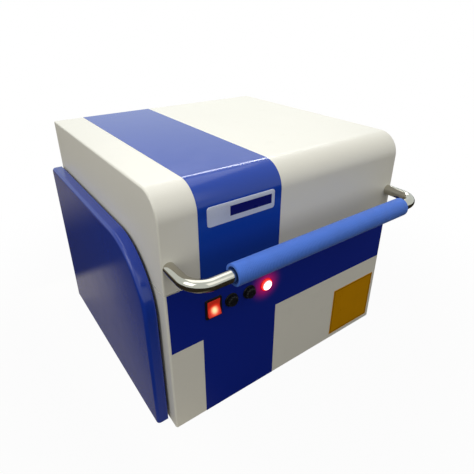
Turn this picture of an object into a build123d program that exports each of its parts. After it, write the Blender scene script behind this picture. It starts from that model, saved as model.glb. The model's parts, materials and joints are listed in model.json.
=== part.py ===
from build123d import *
import os
from math import cos, radians, sin

# Benchtop X-ray fluorescence analyser: a sheet-metal cabinet with a hood that lifts on two rear
# hinges, and the X-ray tube, filter wheel and detector under the sample stage between them.
# Frame: +Z up, the front faces -Y, and the origin is on the bench, under the middle of the machine.

# ---------------------------------------------------------------- driving sizes, in millimetres
body_width = 420.0  # cabinet and hood, without the side panels
body_depth = 400.0
cabinet_height = 231.0  # from the cabinet's underside to the parting line
hood_height = 129.0  # from the parting line to the top
foot_height = 12.0
sheet = 2.0  # cabinet sheet
hood_wall = 2.0
hood_front_radius = 35.0
edge_radius = 3.0
hood_edge_radius = 2.5
parting_gap = 1.5
cabinet_flange = 18.0  # turned in along the cabinet's top edge
fit_gap = 0.2  # between sheet parts that slide into each other
slip_gap = 0.1  # radial, screws in their holes and the sleeve on its tube
running_gap = 0.05  # radial, shafts and pins in their bores

# painted bands, nameplate and label
film = 0.3
stripe_width = 126.0
stripe_x = -97.0
band_height = 92.5
nameplate_width = 102.0
nameplate_height = 26.0
nameplate_thickness = 0.8
nameplate_corner = 4.0
nameplate_drop = 43.0  # centre below the hood's top
label_width = 101.0
label_height = 96.0
label_side_margin = 9.0
label_bottom_margin = 8.0

# side panels
panel_gap = 4.0  # shadow gap to the cabinet's side
panel_thickness = 16.0
panel_wall = 3.0
panel_lift = 4.0  # above the cabinet's underside
panel_overlap = 50.0  # above the parting line
panel_front_inset = 18.0
panel_rear_inset = 4.0
panel_corner_radius = 92.0
panel_small_radius = 8.0
panel_edge_radius = 5.0
panel_boss_diameter = 14.0
panel_boss_margin = 34.0
panel_boss_drop = 25.0  # upper bosses below the parting line
panel_screw_diameter = 4.0
panel_screw_head = 8.0
panel_screw_head_height = 2.4
panel_screw_bite = 9.0

# handle
handle_side_margin = 9.5  # leg's axis to the hood's side
handle_reach = 54.0  # front face to the bar's axis
handle_rise = 37.5  # axis above the parting line
handle_diameter = 16.0
handle_tube_wall = 1.5
handle_bend_radius = 26.0
insert_length = 18.0
handle_bolt_diameter = 6.0
handle_bolt_head = 10.0
handle_bolt_head_height = 4.0
handle_bolt_bite = 14.0
grip_diameter = 28.0
grip_left_gap = 25.5  # bend to the sleeve's left end
grip_right_gap = 15.5
grip_chamfer = 1.2

# hinges
hinge_x = 130.0
hinge_length = 60.0
hinge_knuckles = 5
hinge_barrel_diameter = 11.0
hinge_pin_diameter = 5.0
hinge_pin_head = 8.0
hinge_pin_head_height = 1.5
hinge_leaf_height = 30.0
hinge_leaf_thickness = 2.5
hinge_gap = 0.3
hinge_notch_gap = 0.6
hinge_screw_pitch = 36.0
hinge_screw_drop = 21.0

# rocker switch
control_drop = 46.0  # below the parting line
rocker_x = -143.0
bezel_width = 25.5
bezel_height = 31.0
bezel_thickness = 2.0
bezel_corner = 2.0
bezel_taper = 12.0  # degrees
rocker_body_width = 21.6
rocker_body_height = 28.0
rocker_body_depth = 24.0
rocker_recess_depth = 18.0
rocker_wall = 1.0
rocker_pivot_depth = 6.0  # behind the bezel's front
rocker_side_gap = 0.3
rocker_end_gap = 1.4
rocker_nose = 8.0
rocker_waist = 5.0
rocker_shoulder = 2.0
rocker_tail = 4.0
rocker_tail_height = 14.0
rocker_tilt = 8.0  # degrees, each way
rocker_pin_diameter = 3.0
rocker_pin_reach = 0.8

# fuse holders and lamp
fuse_x = (-114.5, -84.5)
lamp_x = -54.5
fuse_flange_diameter = 21.0
fuse_flange_thickness = 2.0
fuse_flange_taper = 10.0
barrel_diameter = 15.0
fuse_barrel_length = 32.0
fuse_bore_diameter = 11.1
fuse_cap_diameter = 16.8
fuse_cap_length = 4.5
fuse_cap_taper = 3.0
fuse_cap_gap = 0.3
fuse_cap_chamfer = 0.8
fuse_slot_width = 1.6
fuse_slot_length = 11.0
fuse_flutes = 12
fuse_flute_diameter = 2.2
fuse_stem_length = 24.0
fuse_blind_end = 2.0
nut_diameter = 20.0  # across the corners
nut_thickness = 3.0
lamp_diameter = 21.0
lamp_bezel_height = 2.0
lamp_lens_diameter = 17.0
lamp_lens_seat = 1.5
lamp_dome = 2.5
lamp_dome_radius = 2.0
lamp_barrel_length = 28.0

# deck and sample stage
deck_thickness = 3.0
deck_edge_gap = 2.0  # inside the hood's wall
deck_corner = 4.0
deck_opening_diameter = 50.0
sample_plate_diameter = 130.0
sample_plate_thickness = 4.0
sample_plate_chamfer = 1.0
aperture_diameter = 14.0
window_recess_diameter = 34.0
window_recess_depth = 1.5
window_ring_height = 2.0
window_ring_chamfer = 0.5
window_film_thickness = 0.2
gasket_width = 8.0
gasket_height = 2.0
gasket_corner = 10.0
gasket_inner_corner = 5.0

# shield liner inside the hood
liner_width = 330.0
liner_depth = 300.0
liner_height = 94.0
liner_wall = 2.0
liner_corner = 8.0
liner_boss_diameter = 12.0
liner_boss_margin = 45.0
liner_screw_diameter = 5.0
liner_screw_head = 10.0
liner_screw_head_height = 3.0
liner_screw_bite = 10.0
seal_gap = 0.3
lamp_bar_size = (140.0, 14.0, 7.0)
lamp_bar_corner = 3.5
lamp_bar_margin = 24.0

# interlock
key_x = 150.0
key_width = 12.0
key_thickness = 2.0
key_offset = 12.0  # tongue in front of the liner
key_depth = 16.0  # tongue below the deck's top
key_foot = 16.0
key_lift = 14.0  # arm above the deck's top
key_slot_gap = 2.0
interlock_size = (30.0, 20.0, 38.0)
interlock_slot_depth = 20.0

# measuring head, detector and camera
head_diameter = 92.0
head_height = 34.0
beam_diameter = 8.0
head_bowl_diameter = 44.0
head_bowl_depth = 8.0
detector_angle = 45.0  # degrees below the horizontal
detector_nose_diameter = 15.0
detector_diameter = 22.0
detector_start = 14.0  # distances along the line from the sample
detector_step = 36.0
detector_end = 88.0
detector_fins = 5
detector_fin_diameter = 30.0
detector_fin_thickness = 2.0
detector_fin_pitch = 5.0
preamp_width = 34.0
preamp_length = 42.0
preamp_corner = 3.0
camera_angle = 35.0
camera_barrel_diameter = 14.0
camera_sight_diameter = 8.0
camera_start = 26.0
camera_step = 62.0
camera_width = 28.0
camera_length = 22.0
camera_corner = 2.0
bore_gap = 0.15

# X-ray tube, filter wheel and the bench that carries them
wheel_diameter = 112.0
wheel_thickness = 2.0
wheel_gap = 4.0  # under the head
wheel_pitch_diameter = 96.0
wheel_holes = 6
wheel_hole_diameter = 12.0
foil_diameter = 17.0
foil_thickness = 0.5
hub_diameter = 16.0
hub_height = 6.0
shaft_diameter = 5.0
shaft_length = 10.0
motor_width = 28.0
motor_height = 30.0
motor_corner = 3.0
motor_gap = 1.0
pedestal_wall = 3.0
pedestal_foot = 8.0
tube_diameter = 64.0
tube_length = 180.0
tube_front = 40.0  # in front of the beam
tube_drop = 5.0  # below the wheel
tube_edge = 3.0
tube_port_diameter = 24.0
tube_port_height = 3.0
tube_cap_diameter = 40.0
tube_cap_length = 14.0
saddle_width = 76.0
saddle_length = 16.0
saddle_floor = 6.0
saddle_places = (-32.0, 110.0)  # behind the beam
bench_width = 300.0
bench_depth = 300.0
bench_thickness = 5.0
bench_post_diameter = 16.0
bench_post_margin = 15.0

# electronics
hv_size = (110.0, 190.0, 76.0)
hv_x = -64.0
hv_corner = 6.0
hv_edge = 2.0
hv_socket_diameter = 24.0
hv_socket_height = 14.0
hv_socket_setback = 63.0
supply_size = (98.0, 200.0, 42.0)
supply_x = 64.0
supply_slot = (18.0, 3.0)
supply_slots = (3, 8)
supply_slot_pitch = (26.0, 12.0)
supply_slot_depth = 3.0
board_size = (60.0, 150.0, 1.6)
board_x = -106.0
board_margin = 6.0
board_lift = 8.0
board_post_diameter = 7.0
board_can = (40.0, 52.0, 9.0)
board_can_offset = 37.5

# pan and feet
pan_flange_height = 14.0
vent_slot = (46.0, 4.0)
vent_slots = (3, 5)
vent_pitch = (60.0, 12.0)
foot_diameter = 32.0
foot_top_diameter = 26.0
foot_inset = 46.0
foot_recess_diameter = 14.0
foot_recess_depth = 6.0
foot_screw_diameter = 5.0
foot_screw_head = 10.0
foot_screw_head_height = 3.0
foot_screw_spare = 3.0  # past the pan

# rear panel and what it carries
rear_panel_width = 340.0
rear_panel_top_margin = 46.0  # below the parting line
rear_panel_bottom_margin = 15.0
rear_panel_lap = 10.0
rear_panel_corner = 4.0
rear_screw_diameter = 4.0
rear_screw_head = 7.5
rear_screw_head_height = 2.4
rear_screw_spare = 3.0  # past the sheet
fan_size = 80.0
fan_thickness = 25.0
fan_bore = 76.0
fan_corner = 4.0
fan_x = -95.0
fan_mount_diameter = 34.0
fan_mount_thickness = 3.0
fan_struts = 4
fan_strut = 5.0
fan_hub_diameter = 32.0
fan_hub_length = 19.0
fan_hub_gap = 1.0
fan_hub_edge = 2.0
fan_blades = 7
fan_tip_gap = 1.5
fan_blade_chord = 17.0
fan_blade_thickness = 1.8
fan_blade_pitch = (52.0, 32.0)  # degrees, at the hub and at the tip
fan_blade_root = 2.0  # sunk into the hub
fan_pin_diameter = 5.0
fan_pin_length = 13.0
fan_pin_end_gap = 0.5
guard_thickness = 2.0
guard_wire = 2.4
guard_rings = (37.0, 27.0, 17.0)
guard_hub_diameter = 17.0
guard_spokes = (45.0, 135.0)  # degrees
guard_pad_diameter = 9.0
guard_pad_pitch = 71.5
inlet_x = 115.0
inlet_rise = 62.0  # above the cabinet's underside
inlet_flange = (50.0, 26.0)
inlet_flange_thickness = 2.5
inlet_corner = 3.0
inlet_body = (28.0, 20.0)
inlet_depth = 26.0
inlet_recess = (24.4, 16.4)
inlet_recess_chamfer = 4.0
inlet_recess_depth = 17.0
inlet_pin = (2.0, 4.0)
inlet_pin_spacing = 7.0
inlet_pin_rise = 2.0
inlet_pin_length = 13.0
usb_x = 115.0
usb_rise = 128.0
usb_flange = (30.0, 24.0)
usb_flange_thickness = 1.5
usb_shell = (14.6, 13.4)
usb_opening = (12.2, 11.0)
usb_depth = 18.0
usb_recess_depth = 9.0
usb_tongue = (5.6, 3.2)
usb_tongue_length = 8.0
rear_vent = (4.0, 60.0)
rear_vents = 8
rear_vent_pitch = 10.0
rear_vent_x = 5.0

# ---------------------------------------------------------------- places that follow from the sizes
hinge_reach = hinge_gap + hinge_barrel_diameter
body_y = (handle_reach + grip_diameter / 2 - hinge_reach) / 2
front_y = body_y - body_depth / 2
rear_y = body_y + body_depth / 2
side_x = body_width / 2
floor_z = foot_height
parting_z = floor_z + cabinet_height
rim_z = parting_z + parting_gap
top_z = parting_z + hood_height
pan_top = floor_z + sheet
deck_top = parting_z + deck_thickness
hinge_y = rear_y + hinge_gap + hinge_barrel_diameter / 2
hinge_z = parting_z + parting_gap / 2
handle_span = body_width - 2 * handle_side_margin
grip_length = handle_span - 2 * handle_bend_radius - grip_left_gap - grip_right_gap
grip_shift = (grip_left_gap - grip_right_gap) / 2  # the sleeve sits nearer to the right leg
handle_z = parting_z + handle_rise
control_z = parting_z - control_drop
face_y = front_y - film  # front of the painted bands
liner_bottom = deck_top + gasket_height + seal_gap
liner_top = liner_bottom + liner_height
liner_front = body_y - liner_depth / 2
stage_top = deck_top + sample_plate_thickness
head_bottom = parting_z - head_height
wheel_top = head_bottom - wheel_gap
wheel_bottom = wheel_top - wheel_thickness
wheel_x = -wheel_pitch_diameter / 2
motor_top = wheel_bottom - hub_height - motor_gap
tube_top = wheel_bottom - tube_drop
tube_z = tube_top - tube_diameter / 2
bench_top = tube_z - tube_diameter / 2 - saddle_floor
bench_bottom = bench_top - bench_thickness
rear_panel_height = cabinet_height - rear_panel_top_margin - rear_panel_bottom_margin
rear_panel_z = floor_z + rear_panel_bottom_margin + rear_panel_height / 2
panel_outer_y = rear_y + sheet  # outside of the rear panel
leaf_outer_y = rear_y + hinge_leaf_thickness
bezel_y = face_y - bezel_thickness
pivot_y = bezel_y + rocker_pivot_depth
key_y = liner_front - key_offset
panel_front = front_y + panel_front_inset
panel_rear = rear_y - panel_rear_inset
panel_bottom = floor_z + panel_lift
panel_top = parting_z + panel_overlap
panel_back_x = side_x + panel_gap

foot_points = [
    (sx * (side_x - foot_inset), body_y + sy * (body_depth / 2 - foot_inset))
    for sx in (-1, 1)
    for sy in (-1, 1)
]
post_points = [
    (sx * (bench_width / 2 - bench_post_margin), body_y + sy * (bench_depth / 2 - bench_post_margin))
    for sx in (-1, 1)
    for sy in (-1, 1)
]
liner_boss_points = [
    (sx * (liner_width / 2 - liner_boss_margin), body_y + sy * (liner_depth / 2 - liner_boss_margin))
    for sx in (-1, 1)
    for sy in (-1, 1)
]
board_post_points = [
    (board_x + sx * (board_size[0] / 2 - board_margin), body_y + sy * (board_size[1] / 2 - board_margin))
    for sx in (-1, 1)
    for sy in (-1, 1)
]
panel_boss_points = [
    (y, z)
    for y in (panel_front + panel_boss_margin, panel_rear - panel_boss_margin)
    for z in (panel_bottom + panel_boss_margin, parting_z - panel_boss_drop)
]
rear_screw_reach_x = (rear_panel_width - rear_panel_lap) / 2
rear_screw_reach_z = (rear_panel_height - rear_panel_lap) / 2
rear_screw_points = [
    (sx * rear_screw_reach_x, rear_panel_z + sz * rear_screw_reach_z)
    for sx in (-1, 0, 1)
    for sz in (-1, 1)
]
hinge_screw_columns = [
    side * hinge_x + end * hinge_screw_pitch / 2
    for side in (-1, 1)
    for end in (-1, 1)
]
hinge_base_screw_points = [(x, hinge_z - hinge_screw_drop) for x in hinge_screw_columns]
hinge_lid_screw_points = [(x, hinge_z + hinge_screw_drop) for x in hinge_screw_columns]
handle_points = [(side * handle_span / 2, handle_z) for side in (-1, 1)]
fuse_points = [(x, control_z) for x in fuse_x]
lamp_point = (lamp_x, control_z)


# ---------------------------------------------------------------- planes and repeated shapes
def upright(y):
    """Plane across the machine at y: sketches read (x, z) and extrude towards the front."""
    return Plane.XZ.offset(-y)


def sideways(x):
    """Plane along the machine at x: sketches read (y, z) and extrude towards +X."""
    return Plane.YZ.offset(x)


def aimed(angle, towards, distance):
    """Plane at distance from the sample on a line that falls by angle, facing away from the sample."""
    flat, fall = cos(radians(angle)), sin(radians(angle))
    run = Vector(towards[0] * flat, towards[1] * flat, -fall)
    across = (-towards[1], towards[0], 0)
    return Plane(origin=Vector(0, body_y, deck_top) + run * distance, x_dir=across, z_dir=run)


def towards_detector(distance):
    """Plane on the detector's line, which falls towards +X."""
    return aimed(detector_angle, (1, 0), distance)


def towards_camera(distance):
    """Plane on the camera's line, which falls towards the front."""
    return aimed(camera_angle, (0, -1), distance)


def hood_outline(outset, x, bottom):
    """Side outline of the hood at x, drawn outside its surface by outset."""
    front, rear, top = front_y - outset, rear_y + outset, top_z + outset
    arc_y, arc_z = front_y + hood_front_radius, top_z - hood_front_radius
    with BuildSketch(sideways(x)) as outline:
        with BuildLine():
            Line((front, bottom), (front, arc_z))
            CenterArc((arc_y, arc_z), hood_front_radius + outset, 180, -90)
            Polyline((arc_y, top), (rear, top), (rear, bottom), (front, bottom))
        make_face()
    return outline.sketch


def control_cut_outs(y):
    """Openings for the rocker switch, the fuse holders and the lamp."""
    with BuildSketch(upright(y)) as openings:
        with Locations((rocker_x, control_z)):
            Rectangle(rocker_body_width + 2 * fit_gap, rocker_body_height + 2 * fit_gap)
        with Locations(*fuse_points, lamp_point):
            Circle(barrel_diameter / 2 + fit_gap)
    return openings.sketch


def screw_holes(points, plane, diameter):
    """Clearance holes for screws of this diameter."""
    with BuildSketch(plane) as holes:
        with Locations(*points):
            Circle(diameter / 2 + slip_gap)
    return holes.sketch


def screws(points, plane, head, head_height, diameter, reach):
    """Screws whose heads stand on the plane and whose shanks run reach behind it."""
    with BuildPart() as made:
        with BuildSketch(plane):
            with Locations(*points):
                Circle(head / 2)
        extrude(amount=head_height)
        with BuildSketch(plane):
            with Locations(*points):
                Circle(diameter / 2)
        extrude(amount=-reach)
    return made


def hinge_leaves(first_knuckle, side):
    """One leaf of both hinges, with every second knuckle; side is -1 below the pin and 1 above it."""
    pitch = hinge_length / hinge_knuckles
    own = range(first_knuckle, hinge_knuckles, 2)
    others = range(1 - first_knuckle, hinge_knuckles, 2)
    barrel = hinge_barrel_diameter / 2
    with BuildPart() as leaves:
        for centre in (-hinge_x, hinge_x):
            start = centre - hinge_length / 2
            leaf_start = hinge_z + side * parting_gap / 2
            with BuildSketch(upright(rear_y)):
                with Locations((centre, leaf_start + side * hinge_leaf_height / 2)):
                    RectangleRounded(hinge_length, hinge_leaf_height, edge_radius)
                with Locations(*[(start + (i + 0.5) * pitch, leaf_start) for i in others]):
                    Rectangle(
                        pitch + 2 * hinge_gap, 2 * (barrel + hinge_notch_gap), mode=Mode.SUBTRACT,
                    )
            extrude(amount=-hinge_leaf_thickness)
            for i in own:
                with BuildSketch(sideways(start + i * pitch + hinge_gap)):
                    with Locations((hinge_y, hinge_z)):
                        Circle(barrel)
                    with Locations((rear_y + hinge_leaf_thickness / 2, hinge_z + side * barrel)):
                        Rectangle(hinge_leaf_thickness, 2 * barrel - parting_gap)
                extrude(amount=pitch - 2 * hinge_gap)
            with BuildSketch(sideways(start)):
                with Locations((hinge_y, hinge_z)):
                    Circle(hinge_pin_diameter / 2 + running_gap)
            extrude(amount=hinge_length, mode=Mode.SUBTRACT)
        points = hinge_base_screw_points if side < 0 else hinge_lid_screw_points
        extrude(
            screw_holes(points, upright(leaf_outer_y), rear_screw_diameter),
            amount=hinge_leaf_thickness, mode=Mode.SUBTRACT,
        )
    return leaves


# ---------------------------------------------------------------- cabinet
with BuildPart() as cabinet_shell:
    with BuildSketch(Plane.XY.offset(floor_z)):
        with Locations((0, body_y)):
            RectangleRounded(body_width, body_depth, edge_radius)
    extrude(amount=cabinet_height)
    with BuildSketch(Plane.XY.offset(floor_z)):
        with Locations((0, body_y)):
            Rectangle(body_width - 2 * sheet, body_depth - 2 * sheet)
    extrude(amount=cabinet_height - sheet, mode=Mode.SUBTRACT)
    # opening between the flanges that carry the deck
    with BuildSketch(Plane.XY.offset(parting_z)):
        with Locations((0, body_y)):
            Rectangle(
                body_width - 2 * (sheet + cabinet_flange), body_depth - 2 * (sheet + cabinet_flange),
            )
    extrude(amount=-sheet, mode=Mode.SUBTRACT)
    extrude(control_cut_outs(front_y), amount=-sheet, mode=Mode.SUBTRACT)
    # opening behind the rear panel
    with BuildSketch(upright(rear_y)):
        with Locations((0, rear_panel_z)):
            Rectangle(rear_panel_width - 2 * rear_panel_lap, rear_panel_height - 2 * rear_panel_lap)
    extrude(amount=sheet, mode=Mode.SUBTRACT)
    extrude(
        screw_holes(rear_screw_points + hinge_base_screw_points, upright(rear_y), rear_screw_diameter),
        amount=sheet, mode=Mode.SUBTRACT,
    )
    extrude(
        screw_holes(panel_boss_points, sideways(-side_x), panel_screw_diameter),
        amount=body_width, mode=Mode.SUBTRACT,
    )

with BuildPart() as chassis_pan:
    pan_width = body_width - 2 * (sheet + fit_gap)
    pan_depth = body_depth - 2 * (sheet + fit_gap)
    with BuildSketch(Plane.XY.offset(floor_z)):
        with Locations((0, body_y)):
            Rectangle(pan_width, pan_depth)
    extrude(amount=pan_flange_height)
    with BuildSketch(Plane.XY.offset(pan_top)):
        with Locations((0, body_y)):
            Rectangle(pan_width - 2 * sheet, pan_depth - 2 * sheet)
    extrude(amount=pan_flange_height, mode=Mode.SUBTRACT)
    with BuildSketch(Plane.XY.offset(floor_z)):
        with Locations((0, body_y)):
            with GridLocations(*vent_pitch, *vent_slots):
                SlotOverall(*vent_slot)
    extrude(amount=sheet, mode=Mode.SUBTRACT)
    extrude(
        screw_holes(foot_points, Plane.XY.offset(floor_z), foot_screw_diameter),
        amount=sheet, mode=Mode.SUBTRACT,
    )

with BuildPart() as feet:
    with Locations(*foot_points):
        Cone(
            foot_diameter / 2, foot_top_diameter / 2, foot_height,
            align=(Align.CENTER, Align.CENTER, Align.MIN),
        )
    with BuildSketch(Plane.XY):
        with Locations(*foot_points):
            Circle(foot_recess_diameter / 2)
    extrude(amount=foot_recess_depth, mode=Mode.SUBTRACT)
    extrude(
        screw_holes(foot_points, Plane.XY, foot_screw_diameter), amount=foot_height, mode=Mode.SUBTRACT,
    )

# seen from below, so that the heads hang under the plane
foot_screws = screws(
    [(x, -y) for x, y in foot_points],
    Plane(origin=(0, 0, foot_recess_depth), x_dir=(1, 0, 0), z_dir=(0, 0, -1)),
    foot_screw_head, foot_screw_head_height, foot_screw_diameter,
    foot_height - foot_recess_depth + sheet + foot_screw_spare,
)

with BuildPart() as front_stripe:
    with BuildSketch(upright(front_y)):
        with Locations((stripe_x, floor_z + cabinet_height / 2)):
            Rectangle(stripe_width, cabinet_height)
        with Locations((0, parting_z - band_height / 2)):
            Rectangle(body_width - 2 * edge_radius, band_height)
    extrude(amount=film)
    extrude(control_cut_outs(front_y), amount=film, mode=Mode.SUBTRACT)

with BuildPart() as label_plate:
    label_x = side_x - label_side_margin - label_width / 2
    with BuildSketch(upright(front_y)):
        with Locations((label_x, floor_z + label_bottom_margin + label_height / 2)):
            Rectangle(label_width, label_height)
    extrude(amount=film)

# ---------------------------------------------------------------- side panels
with BuildPart() as side_panel_left:
    with BuildSketch(sideways(-panel_back_x)) as panel_outline:
        with BuildLine():
            front_arc = panel_front + panel_corner_radius
            Line((panel_front, panel_bottom), (panel_front, panel_top - panel_corner_radius))
            CenterArc((front_arc, panel_top - panel_corner_radius), panel_corner_radius, 180, -90)
            Polyline(
                (front_arc, panel_top), (panel_rear, panel_top),
                (panel_rear, panel_bottom), (panel_front, panel_bottom),
            )
        make_face()
        top_corner = panel_outline.vertices().group_by(Axis.Y)[-1].sort_by(Axis.X)[-1]
        fillet(top_corner, panel_small_radius)
    extrude(amount=-panel_thickness)
    face_edges = side_panel_left.faces().sort_by(Axis.X)[0].edges().sort_by(Axis.Z)
    fillet(face_edges[1:], panel_edge_radius)  # the bottom edge stays sharp
    with BuildSketch(sideways(-panel_back_x)):
        add(panel_outline.sketch_local)
        offset(amount=-panel_wall, mode=Mode.REPLACE)
    extrude(amount=-(panel_thickness - panel_wall), mode=Mode.SUBTRACT)
    with BuildSketch(sideways(-side_x)):
        with Locations(*panel_boss_points):
            Circle(panel_boss_diameter / 2)
    extrude(amount=-(panel_gap + panel_thickness - panel_wall))
    with BuildSketch(sideways(-side_x)):
        with Locations(*panel_boss_points):
            Circle(panel_screw_diameter / 2)
    extrude(amount=-panel_screw_bite, mode=Mode.SUBTRACT)

with BuildPart() as side_panel_right:
    mirror(side_panel_left.part, about=Plane.YZ)

with BuildPart() as side_panel_screws:
    for direction in (-1, 1):
        with BuildSketch(sideways(direction * (side_x - sheet))):
            with Locations(*panel_boss_points):
                Circle(panel_screw_head / 2)
        extrude(amount=-direction * panel_screw_head_height)
        with BuildSketch(sideways(direction * (side_x - sheet))):
            with Locations(*panel_boss_points):
                Circle(panel_screw_diameter / 2)
        extrude(amount=direction * (sheet + panel_screw_bite))

# ---------------------------------------------------------------- hood
with BuildPart() as hood_shell:
    extrude(hood_outline(0, -side_x, rim_z), amount=body_width)
    ends = hood_shell.faces().filter_by(Axis.X)
    rear_corner = hood_shell.edges().filter_by(Axis.X).group_by(Axis.Z)[-1].sort_by(Axis.Y)[-1]
    fillet([e for e in ends.edges() if e.center().Z > rim_z + edge_radius] + [rear_corner], hood_edge_radius)
    extrude(
        hood_outline(-hood_wall, -side_x + hood_wall, rim_z),
        amount=body_width - 2 * hood_wall, mode=Mode.SUBTRACT,
    )
    # bosses that carry the shield liner
    with BuildSketch(Plane.XY.offset(liner_top)):
        with Locations(*liner_boss_points):
            Circle(liner_boss_diameter / 2)
    extrude(amount=top_z - hood_wall - liner_top)
    with BuildSketch(Plane.XY.offset(liner_top)):
        with Locations(*liner_boss_points):
            Circle(liner_screw_diameter / 2)
    extrude(amount=liner_screw_bite, mode=Mode.SUBTRACT)
    extrude(
        screw_holes(handle_points, upright(front_y), handle_bolt_diameter),
        amount=-hood_wall, mode=Mode.SUBTRACT,
    )
    extrude(
        screw_holes(hinge_lid_screw_points, upright(rear_y), rear_screw_diameter),
        amount=hood_wall, mode=Mode.SUBTRACT,
    )

with BuildPart() as hood_stripe:
    stripe_left = stripe_x - stripe_width / 2
    extrude(hood_outline(film, stripe_left, rim_z), amount=stripe_width)
    extrude(hood_outline(0, stripe_left, rim_z), amount=stripe_width, mode=Mode.SUBTRACT)
    # the band ends at the hood's rear edge
    with BuildSketch(sideways(stripe_left)):
        with Locations((rear_y - hood_edge_radius, rim_z)):
            Rectangle(2 * hood_edge_radius, 2 * hood_height, align=(Align.MIN, Align.MIN))
    extrude(amount=stripe_width, mode=Mode.SUBTRACT)

with BuildPart() as nameplate:
    plate_left = stripe_x - nameplate_width / 2
    extrude(hood_outline(film + nameplate_thickness, plate_left, rim_z), amount=nameplate_width)
    extrude(hood_outline(film, plate_left, rim_z), amount=nameplate_width, mode=Mode.SUBTRACT)
    with BuildSketch(upright(front_y + hood_front_radius)):
        with Locations((stripe_x, top_z - nameplate_drop)):
            RectangleRounded(nameplate_width, nameplate_height, nameplate_corner)
    extrude(amount=2 * hood_front_radius, mode=Mode.INTERSECT)

with BuildPart() as shield_liner:
    with BuildSketch(Plane.XY.offset(liner_bottom)):
        with Locations((0, body_y)):
            RectangleRounded(liner_width, liner_depth, liner_corner)
    extrude(amount=liner_height)
    with BuildSketch(Plane.XY.offset(liner_bottom)):
        with Locations((0, body_y)):
            RectangleRounded(
                liner_width - 2 * liner_wall, liner_depth - 2 * liner_wall, liner_corner - liner_wall,
            )
    extrude(amount=liner_height - liner_wall, mode=Mode.SUBTRACT)
    extrude(
        screw_holes(liner_boss_points, Plane.XY.offset(liner_top), liner_screw_diameter),
        amount=-liner_wall, mode=Mode.SUBTRACT,
    )

# heads under the liner's roof, shanks up into the hood's bosses
liner_screws = screws(
    [(x, -y) for x, y in liner_boss_points],
    Plane(origin=(0, 0, liner_top - liner_wall), x_dir=(1, 0, 0), z_dir=(0, 0, -1)),
    liner_screw_head, liner_screw_head_height, liner_screw_diameter, liner_wall + liner_screw_bite,
)

with BuildPart() as chamber_lamp:
    bar_length, bar_width, bar_height = lamp_bar_size
    with BuildSketch(Plane.XY.offset(liner_top - liner_wall)):
        with Locations((0, liner_front + liner_wall + lamp_bar_margin)):
            RectangleRounded(bar_length, bar_width, lamp_bar_corner)
    extrude(amount=-bar_height)

with BuildPart() as interlock_key:
    arm_z = deck_top + key_lift
    tip_z = deck_top - key_depth
    with BuildSketch(sideways(key_x - key_width / 2)):
        Polygon(
            (liner_front, arm_z + key_foot),
            (liner_front - key_thickness, arm_z + key_foot),
            (liner_front - key_thickness, arm_z + key_thickness),
            (key_y - key_thickness, arm_z + key_thickness),
            (key_y - key_thickness, tip_z),
            (key_y, tip_z),
            (key_y, arm_z),
            (liner_front, arm_z),
            align=None,
        )
    extrude(amount=key_width)

# ---------------------------------------------------------------- handle
with BuildPart() as handle_tube:
    with BuildLine(Plane.XY.offset(handle_z)) as handle_path:
        bar_y = front_y - handle_reach
        FilletPolyline(
            (-handle_span / 2, front_y), (-handle_span / 2, bar_y),
            (handle_span / 2, bar_y), (handle_span / 2, front_y),
            radius=handle_bend_radius,
        )
    with BuildSketch(upright(front_y)):
        with Locations(handle_points[0]):
            Circle(handle_diameter / 2)
            Circle(handle_diameter / 2 - handle_tube_wall, mode=Mode.SUBTRACT)
    sweep(path=handle_path.line)

with BuildPart() as handle_inserts:
    with BuildSketch(upright(front_y)):
        with Locations(*handle_points):
            Circle(handle_diameter / 2 - handle_tube_wall)
            Circle(handle_bolt_diameter / 2, mode=Mode.SUBTRACT)
    extrude(amount=insert_length)

handle_bolts = screws(
    [(-x, z) for x, z in handle_points],
    Plane(origin=(0, front_y + hood_wall, 0), x_dir=(-1, 0, 0), z_dir=(0, 1, 0)),
    handle_bolt_head, handle_bolt_head_height, handle_bolt_diameter, hood_wall + handle_bolt_bite,
)

with BuildPart() as handle_grip:
    with BuildSketch(sideways(grip_shift - grip_length / 2)):
        with Locations((front_y - handle_reach, handle_z)):
            Circle(grip_diameter / 2)
            Circle(handle_diameter / 2 + slip_gap, mode=Mode.SUBTRACT)
    extrude(amount=grip_length)
    rims = handle_grip.edges().filter_by(GeomType.CIRCLE)
    chamfer([e for e in rims if e.radius > handle_diameter / 2 + grip_chamfer], grip_chamfer)

# ---------------------------------------------------------------- hinges
hinge_leaves_base = hinge_leaves(0, -1)
hinge_leaves_lid = hinge_leaves(1, 1)

with BuildPart() as hinge_pins:
    for direction in (-1, 1):
        outer = direction * (hinge_x + hinge_length / 2)
        with BuildSketch(sideways(outer)):
            with Locations((hinge_y, hinge_z)):
                Circle(hinge_pin_diameter / 2)
        extrude(amount=-direction * hinge_length)
        with BuildSketch(sideways(outer)):
            with Locations((hinge_y, hinge_z)):
                Circle(hinge_pin_head / 2)
        extrude(amount=direction * hinge_pin_head_height)

rear_facing = Plane(origin=(0, leaf_outer_y, 0), x_dir=(-1, 0, 0), z_dir=(0, 1, 0))
hinge_screws_base = screws(
    [(-x, z) for x, z in hinge_base_screw_points], rear_facing,
    rear_screw_head, rear_screw_head_height, rear_screw_diameter,
    hinge_leaf_thickness + sheet + rear_screw_spare,
)
hinge_screws_lid = screws(
    [(-x, z) for x, z in hinge_lid_screw_points], rear_facing,
    rear_screw_head, rear_screw_head_height, rear_screw_diameter,
    hinge_leaf_thickness + hood_wall + rear_screw_spare,
)

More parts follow.
